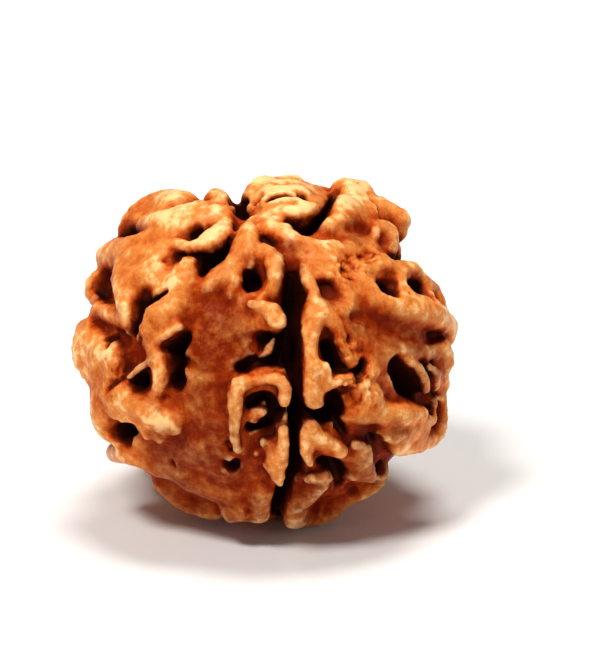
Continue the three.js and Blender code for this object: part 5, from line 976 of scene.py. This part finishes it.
def roughened(mesh):
    points, normals = cornersOf(mesh), normalsOf(mesh)
    rise = 0
    for swell in (fineRelief["wrinkles"], fineRelief["creases"]):
        rise = rise + makeWaves(swell)(*points.T)
    rough = roughnessAt(points)
    for i in np.flatnonzero(rough):
        rise[i] += rough[i] * fineRelief["grainHeight"] * (grainAt(points[i]) - 1)
    flat = points[:, 2] < -beadForm["flatSpotDepth"] + beadMesh["pitch"]
    points = points + normals * np.where(flat, 0, rise)[:, None]
    mesh.vertices.foreach_set("co", points.ravel())
    mesh.update()


line = makeGrid()
field = measureForm(line)
print("form measured on", len(line), "steps a side")
netPoints, netNumber = netCorners(field, line)
quads = netQuads(field, netNumber)
netPoints = evenOut(netPoints, quads, field, line)
beadSkin = thinned(netPoints, quads)
roughened(beadSkin)
print("net thinned from", 2 * len(quads), "to", len(beadSkin.polygons), "triangles")

# Values kept at each corner for the finish. Height is how high it stands above the round body.
# Shelter is how much of the sky the stone round it hides. Edge and fold are how much stone lies
# round it, near and further off: low on a crest and high in a hollow.
finishMap = {
    "heightSpan": [-2.2, 2.0],
    "shelterWays": 22,
    "shelterSteps": [0.25, 0.5, 0.9, 1.5, 2.3, 3.2],
    "shelterSoftness": 0.22,
    "asideWay": [0.31, 0.52, 0.8],
    "edgeReach": 0.3,
    "foldReach": 0.9,
}


def crisp(values, low, high):  # runs from 0 at low to 1 at high
    return np.clip((values - low) / (high - low), 0, 1)


def keepValue(mesh, name, values):
    layer = mesh.attributes.new(name, "FLOAT", "POINT")
    layer.data.foreach_set("value", values.astype(np.float32))


def nearestValue(field, line, points):  # the grid's value at the nearest of its own points
    place = np.rint((points - line[0]) / (line[1] - line[0]))
    place = np.clip(place, 0, len(line) - 1).astype(int)
    return field[place[:, 0], place[:, 1], place[:, 2]]


def spreadWays(count):  # directions spread evenly over a half round, highest first
    turns = np.radians(farSide["goldenTurn"]) * np.arange(count)
    rise = 1 - (np.arange(count) + 0.5) / count
    flat = np.sqrt(1 - rise * rise)
    return np.stack([flat * np.cos(turns), flat * np.sin(turns), rise], 1)


def shelterAt(points, normals):
    side = np.cross(normals, finishMap["asideWay"])
    side /= np.linalg.norm(side, axis=1)[:, None]
    other = np.cross(normals, side)
    hidden = np.zeros(len(points))
    total = 0
    for across, along, rise in spreadWays(finishMap["shelterWays"]):
        ways = side * across + other * along + normals * rise
        clear = np.ones(len(points))
        for reach in finishMap["shelterSteps"]:
            room = nearestValue(field, line, points + ways * reach)
            clear = np.minimum(clear, crisp(room, 0, finishMap["shelterSoftness"] * reach))
        hidden += (1 - clear) * rise
        total += rise
    return hidden / total


def thickenedBy(reach):  # the share of stone within reach of every grid point
    stone = crisp(-field, -beadMesh["pitch"] / 2, beadMesh["pitch"] / 2).astype(np.float32)
    steps = max(1, round(reach / beadMesh["pitch"]))
    for axis in range(3):
        for _ in range(2):
            total = np.cumsum(stone, axis)
            ahead = np.roll(total, -steps, axis)
            behind = np.roll(total, steps + 1, axis)
            stone = (ahead - behind) / (2 * steps + 1)
    return stone


def mapFinish(mesh, points, normals):
    ways = points / np.linalg.norm(points, axis=1)[:, None]
    height = np.linalg.norm(points, axis=1) - bodyRadius(ways)
    kept = {
        "height": crisp(height, *finishMap["heightSpan"]),
        "shelter": shelterAt(points, normals),
        "edge": valueAt(thickenedBy(finishMap["edgeReach"]), line, points),
        "fold": valueAt(thickenedBy(finishMap["foldReach"]), line, points),
        "paintedShade": patchesAt(points, paintedShadePatches),
        "paintedLight": patchesAt(points, paintedLightPatches),
    }
    for name, values in kept.items():
        keepValue(mesh, name, values)


# Patches of painted shade, darker and redder, on the lower and middle parts of the front, under
# the bulge and the ledge and in recesses; then patches of painted light, paler and yellower, most
# on the top. Each is given as seen from the front: across, up, reach and strength.
paintedShadePatches = {
    "left of the middle": [
        [-3.0, 2.2, 2.3, 0.9], [-3.4, 0.0, 2.3, 1.0], [-3.8, -2.6, 1.8, 0.8], [-1.6, 0.4, 1.6, 0.9],
    ],
    "below the middle": [[-3.8, -5.6, 2.6, 0.9], [-5.6, -6.4, 2.2, 0.9], [-2.4, -7.4, 2.4, 0.9]],
    "base": [
        [-5.0, -9.0, 2.8, 0.8], [-1.6, -10.0, 2.8, 0.75], [3.4, -9.6, 2.8, 0.85], [6.6, -7.6, 2.0, 0.8],
    ],
    "under the bulge": [
        [6.0, 2.0, 1.3, 0.9], [7.8, 1.2, 1.5, 0.9], [9.4, 0.8, 1.4, 0.8], [7.2, 0.4, 1.2, 0.6],
    ],
    "under the ledge": [[6.2, -5.2, 1.3, 0.9], [8.2, -5.0, 0.9, 0.7]],
    "shoulder": [[5.6, 7.6, 1.1, 0.8], [7.4, 6.9, 0.8, 0.7]],
    "column by the post": [[-8.0, 0.2, 0.8, 0.8], [-7.6, -0.4, 0.8, 0.6]],
    "arch floor": [[-0.6, -5.6, 1.2, 0.8]],
    "ridge dent": [[4.0, 3.6, 0.8, 0.9]],
    "side": [[10.4, -0.8, 1.2, 0.6]],
    "window recess": [[-0.9, 5.5, 0.6, 0.6]],
    "furrow head": [[1.4, 6.3, 0.9, 0.8], [1.6, 5.2, 0.9, 0.9]],
}
# Painted light: paler, yellower patches, most of them on the top where the light falls.
paintedLightPatches = {
    "crown": [[0.4, 9.6, 2.6, 0.9], [2.6, 9.6, 2.0, 0.8], [-0.4, 8.4, 1.6, 1.0], [1.6, 8.2, 1.6, 0.7]],
    "left of the crown": [[-2.6, 9.0, 1.6, 0.8], [-3.0, 7.6, 1.4, 0.6], [-5.6, 8.2, 2.2, 0.5]],
    "right shoulder": [[4.8, 10.0, 1.8, 0.7], [8.4, 8.8, 1.2, 0.5]],
    "right plate": [
        [5.0, 5.6, 2.0, 0.5], [3.4, 6.6, 1.4, 0.6], [5.6, -2.4, 1.6, 0.6], [9.0, 3.4, 1.6, 0.4],
    ],
    "left plate": [
        [-8.6, 3.2, 1.2, 0.5], [-6.6, 4.8, 1.4, 0.4], [-10.6, 0.4, 1.6, 0.3], [-6.6, -3.8, 1.4, 0.6],
    ],
}


# Where a patch starts to fade and where it ends, in shares of its reach, and the depth from
# the side round to the front over which patches come in.
patchFade = {"reach": [0.45, 1.15], "depth": [-1, 2]}


def patchesAt(points, patches):
    across, up, depth = points @ acrossWay, points @ upWay, points @ towardWay
    total = np.zeros(len(points))
    for spots in patches.values():
        for spotAcross, spotUp, reach, strength in spots:
            away = np.hypot(across - spotAcross, up - spotUp) / reach
            total = np.maximum(total, strength * (1 - crisp(away, *patchFade["reach"])))
    return total * crisp(depth, *patchFade["depth"])


# The finish: oiled red-brown stone, paler on the crests, partly as painted highlight, and almost
# black down in the hollows as painted shade. A span gives where a value starts and ends, then
# what it becomes there. The noises give their scale, detail and roughness.
stoneFinish = {
    # painted shade: the colour of the sheltered hollows
    "deep": (0.022, 0.0028, 0.0008),
    "low": (0.18, 0.0105, 0.0006),
    "middle": (0.455, 0.056, 0.0045),
    "crest": (0.76, 0.25, 0.05),
    "pale": (1.0, 0.6, 0.25),
    "paintedShade": (0.16, 0.0076, 0.0005),
    "shine": (1.0, 0.80, 0.5),
    "stops": {"low": 0.1, "middle": 0.4, "crest": 0.8, "pale": 1.0},
    "levelSpans": {
        "fold": (0.7, 0.3, 0.0, 0.4),
        "height": (0.3, 0.9, 0.0, 0.25),
        "paintedLight": (0.0, 1.0, 0.0, 0.32),
        "shelter": (0.05, 0.5, 0.2, -0.2),
        "broad": (0.3, 0.7, -0.16, 0.16),
        "fine": (0.3, 0.7, -0.2, 0.2),
    },
    # how much of the painted shade colour the shaded patches take
    "paintedShadeShareSpan": (0.35, 0.65, 1.0, 0.65),
    # painted highlight on the sharp edges
    "paintedHighlightEdgeSpan": (0.42, 0.3, 0.0, 1.0),
    "paintedHighlightFineSpan": (0.35, 0.6, 0.05, 0.48),
    # how far sheltered spots go to the painted shade colour
    "hollowShadeSpan": (0.38, 0.72, 0.0, 1.0),
    "roughnessSpan": (0.2, 0.9, 0.56, 0.36),
    "coatSpan": (0.5, 1.1, 0.0, 0.28),
    "broadNoise": (420, 3.0, 0.55),
    "fineNoise": (1500, 4.0, 0.65),
    "wrinkleNoise": (2200, 4.0, 0.55),
    "wrinkleHeight": 0.00006,
    "wrinkleStrength": 0.7,
    "gloss": 0.06,
    "coatRoughness": 0.3,
}


def newMaterial(name):
    material = bpy.data.materials.new(name)
    material.use_nodes = True
    material.node_tree.nodes.clear()
    return material, material.node_tree


def addNode(tree, kind, values=(), **settings):
    node = tree.nodes.new(kind)
    for name, value in settings.items():
        setattr(node, name, value)
    for name, value in dict(values).items():
        node.inputs[name].default_value = value
    return node


def surfaceValue(tree, name):
    return addNode(tree, "ShaderNodeAttribute", attribute_name=name).outputs["Fac"]


def ramp(tree, value, stops):
    node = addNode(tree, "ShaderNodeValToRGB")
    tree.links.new(value, node.inputs["Fac"])
    points = node.color_ramp.elements
    while len(points) < len(stops):
        points.new(1)
    for point, (place, colour) in zip(points, stops):
        point.position = place
        point.color = (*colour, 1)
    return node.outputs["Color"]


def mathNode(tree, operation, one, two):
    node = addNode(tree, "ShaderNodeMath", operation=operation)
    for socket, source in zip(node.inputs, (one, two)):
        tree.links.new(source, socket)
    return node.outputs["Value"]


def mixColour(tree, share, one, two):
    node = addNode(tree, "ShaderNodeMix", data_type="RGBA")
    sockets = {socket.identifier: socket for socket in [*node.inputs, *node.outputs]}
    tree.links.new(share, sockets["Factor_Float"])
    tree.links.new(one, sockets["A_Color"])
    sockets["B_Color"].default_value = (*two, 1)
    return sockets["Result_Color"]


def noiseValue(tree, place, settings):
    values = dict(zip(("Scale", "Detail", "Roughness"), settings))
    node = addNode(tree, "ShaderNodeTexNoise", values)
    tree.links.new(place, node.inputs["Vector"])
    return node.outputs["Fac"]


def spanned(tree, value, span):
    values = dict(zip(("From Min", "From Max", "To Min", "To Max"), span))
    node = addNode(tree, "ShaderNodeMapRange", values)
    tree.links.new(value, node.inputs["Value"])
    return node.outputs["Result"]


def makeStone():
    material, tree = newMaterial("oiled red-brown stone")
    output = addNode(tree, "ShaderNodeOutputMaterial")
    shader = addNode(tree, "ShaderNodeBsdfPrincipled", {
        "Coat Roughness": stoneFinish["coatRoughness"],
        "Specular IOR Level": stoneFinish["gloss"],
        "Specular Tint": (*stoneFinish["shine"], 1),
    })
    tree.links.new(shader.outputs["BSDF"], output.inputs["Surface"])
    place = addNode(tree, "ShaderNodeTexCoord").outputs["Object"]
    names = ("height", "shelter", "edge", "fold", "paintedShade", "paintedLight")
    values = {name: surfaceValue(tree, name) for name in names}
    for name in ("broad", "fine"):
        values[name] = noiseValue(tree, place, stoneFinish[name + "Noise"])
    # Crests are paler: high ground, and ground with little stone round it, partly as painted highlight.
    # Sheltered ground goes lower as painted shade, and the lit patches higher as painted light.
    parts = [spanned(tree, values[name], span) for name, span in stoneFinish["levelSpans"].items()]
    level = parts[0]
    for part in parts[1:]:
        level = mathNode(tree, "ADD", level, part)
    stops = [(spot, stoneFinish[name]) for name, spot in stoneFinish["stops"].items()]
    colour = ramp(tree, level, stops)
    # Painted shade: the shaded patches go darker and redder, broken up by noise.
    paintedShadeShare = spanned(tree, values["fine"], stoneFinish["paintedShadeShareSpan"])
    paintedShadeShare = mathNode(tree, "MULTIPLY", values["paintedShade"], paintedShadeShare)
    colour = mixColour(tree, paintedShadeShare, colour, stoneFinish["paintedShade"])
    # Painted highlight: sharp edges go pale, broken up by noise.
    paintedHighlightEdge = spanned(tree, values["edge"], stoneFinish["paintedHighlightEdgeSpan"])
    paintedHighlightFine = spanned(tree, values["fine"], stoneFinish["paintedHighlightFineSpan"])
    paintedHighlight = mathNode(tree, "MULTIPLY", paintedHighlightEdge, paintedHighlightFine)
    colour = mixColour(tree, paintedHighlight, colour, stoneFinish["pale"])
    # Painted shade: the more of the sky the stone round a spot hides, the nearer it goes to near black.
    hollowShade = spanned(tree, values["shelter"], stoneFinish["hollowShadeSpan"])
    colour = mixColour(tree, hollowShade, colour, stoneFinish["deep"])
    tree.links.new(colour, shader.inputs["Base Color"])
    roughness = spanned(tree, level, stoneFinish["roughnessSpan"])
    tree.links.new(roughness, shader.inputs["Roughness"])
    tree.links.new(spanned(tree, level, stoneFinish["coatSpan"]), shader.inputs["Coat Weight"])
    bump = addNode(tree, "ShaderNodeBump", {
        "Strength": stoneFinish["wrinkleStrength"],
        "Distance": stoneFinish["wrinkleHeight"],
    })
    wrinkles = noiseValue(tree, place, stoneFinish["wrinkleNoise"])
    tree.links.new(wrinkles, bump.inputs["Height"])
    tree.links.new(bump.outputs["Normal"], shader.inputs["Normal"])
    return material


stone = makeStone()


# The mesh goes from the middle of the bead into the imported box, and its values with it.
def placeBead(mesh):  # gives how far the mesh was moved, in millimetres
    points = cornersOf(mesh)
    mapFinish(mesh, points, normalsOf(mesh))
    low, high = points.min(0), points.max(0)
    middle = (np.array(cadLow) + np.array(cadHigh)) / 2 / millimetre
    shift = np.array([*(middle - (low + high) / 2)[:2], cadLow[2] / millimetre - low[2]])
    mesh.vertices.foreach_set("co", ((points + shift) * millimetre).ravel())
    mesh.polygons.foreach_set("use_smooth", [True] * len(mesh.polygons))
    mesh.materials.append(stone)
    bead = placed("beadStone", mesh)
    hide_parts("bead")
    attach(bead, "root")
    return shift


shift = placeBead(beadSkin)
print("bead placed, moved by", shift.round(3))

# A plain pale floor, a camera on the photographed angle with a long lens, and soft lights.
studio = {
    "floorSize": 1.6,
    "floorColour": (0.86, 0.86, 0.86),
    "floorRoughness": 0.9,
    "pictureHeight": 40.3,
    "aimAcross": 2.125,
    "aimUp": 1.84,
    "lens": 800,
    "sensor": 36,
    "farthestSeen": 10,
    "worldColour": (1.0, 1.0, 1.0),
    "worldStrength": 0.14,
    "lights": [
        {
            "name": "key", "from": (-0.3, -0.45, 0.8), "size": 0.25, "power": 6.9,
            "colour": (1.0, 0.97, 0.92),
        },
        {
            "name": "fill", "from": (0.6, -0.7, 0.3), "size": 0.4, "power": 0.9,
            "colour": (1.0, 0.96, 0.92),
        },
        {
            "name": "top", "from": (0.05, 0.1, 0.8), "size": 0.3, "power": 4.6,
            "colour": (1.0, 0.98, 0.94),
        },
    ],
}


def makeFloor():
    half = studio["floorSize"] / 2
    mesh = bpy.data.meshes.new("floor")
    corners = [(-half, -half, 0), (half, -half, 0), (half, half, 0), (-half, half, 0)]
    mesh.from_pydata(corners, [], [(0, 1, 2, 3)])
    material, tree = newMaterial("pale floor")
    output = addNode(tree, "ShaderNodeOutputMaterial")
    shader = addNode(tree, "ShaderNodeBsdfPrincipled", {
        "Base Color": (*studio["floorColour"], 1),
        "Roughness": studio["floorRoughness"],
    })
    tree.links.new(shader.outputs["BSDF"], output.inputs["Surface"])
    mesh.materials.append(material)
    floor = placed("floor", mesh)


def pointed(holder, target):  # turns a lamp or camera to look at a place
    holder.rotation_euler = (target - holder.location).to_track_quat("-Z", "Y").to_euler()


def makeCamera(middle):
    camera = bpy.data.cameras.new("camera")
    camera.lens, camera.sensor_width = studio["lens"], studio["sensor"]
    camera.clip_end = studio["farthestSeen"]
    distance = studio["pictureHeight"] * millimetre * studio["lens"] / studio["sensor"]
    aim = middle + Vector(viewPoint(studio["aimAcross"], studio["aimUp"], 0)) * millimetre
    eye = placed("camera", camera)
    eye.location = aim + Vector(towardWay) * distance
    pointed(eye, aim)
    bpy.context.scene.camera = eye


def makeLights(middle):
    for setting in studio["lights"]:
        lamp = bpy.data.lights.new(setting["name"], "AREA")
        lamp.shape = "DISK"
        lamp.size, lamp.energy, lamp.color = setting["size"], setting["power"], setting["colour"]
        holder = placed(setting["name"], lamp)
        holder.location = middle + Vector(setting["from"])
        pointed(holder, middle)


def makeWorld():
    world = bpy.data.worlds.new("studio air")
    world.use_nodes = True
    background = world.node_tree.nodes["Background"]
    background.inputs["Color"].default_value = (*studio["worldColour"], 1)
    background.inputs["Strength"].default_value = studio["worldStrength"]
    bpy.context.scene.world = world


middle = Vector(shift) * millimetre
makeFloor()
makeCamera(middle)
makeLights(middle)
makeWorld()
bpy.context.scene.view_settings.view_transform = "Standard"
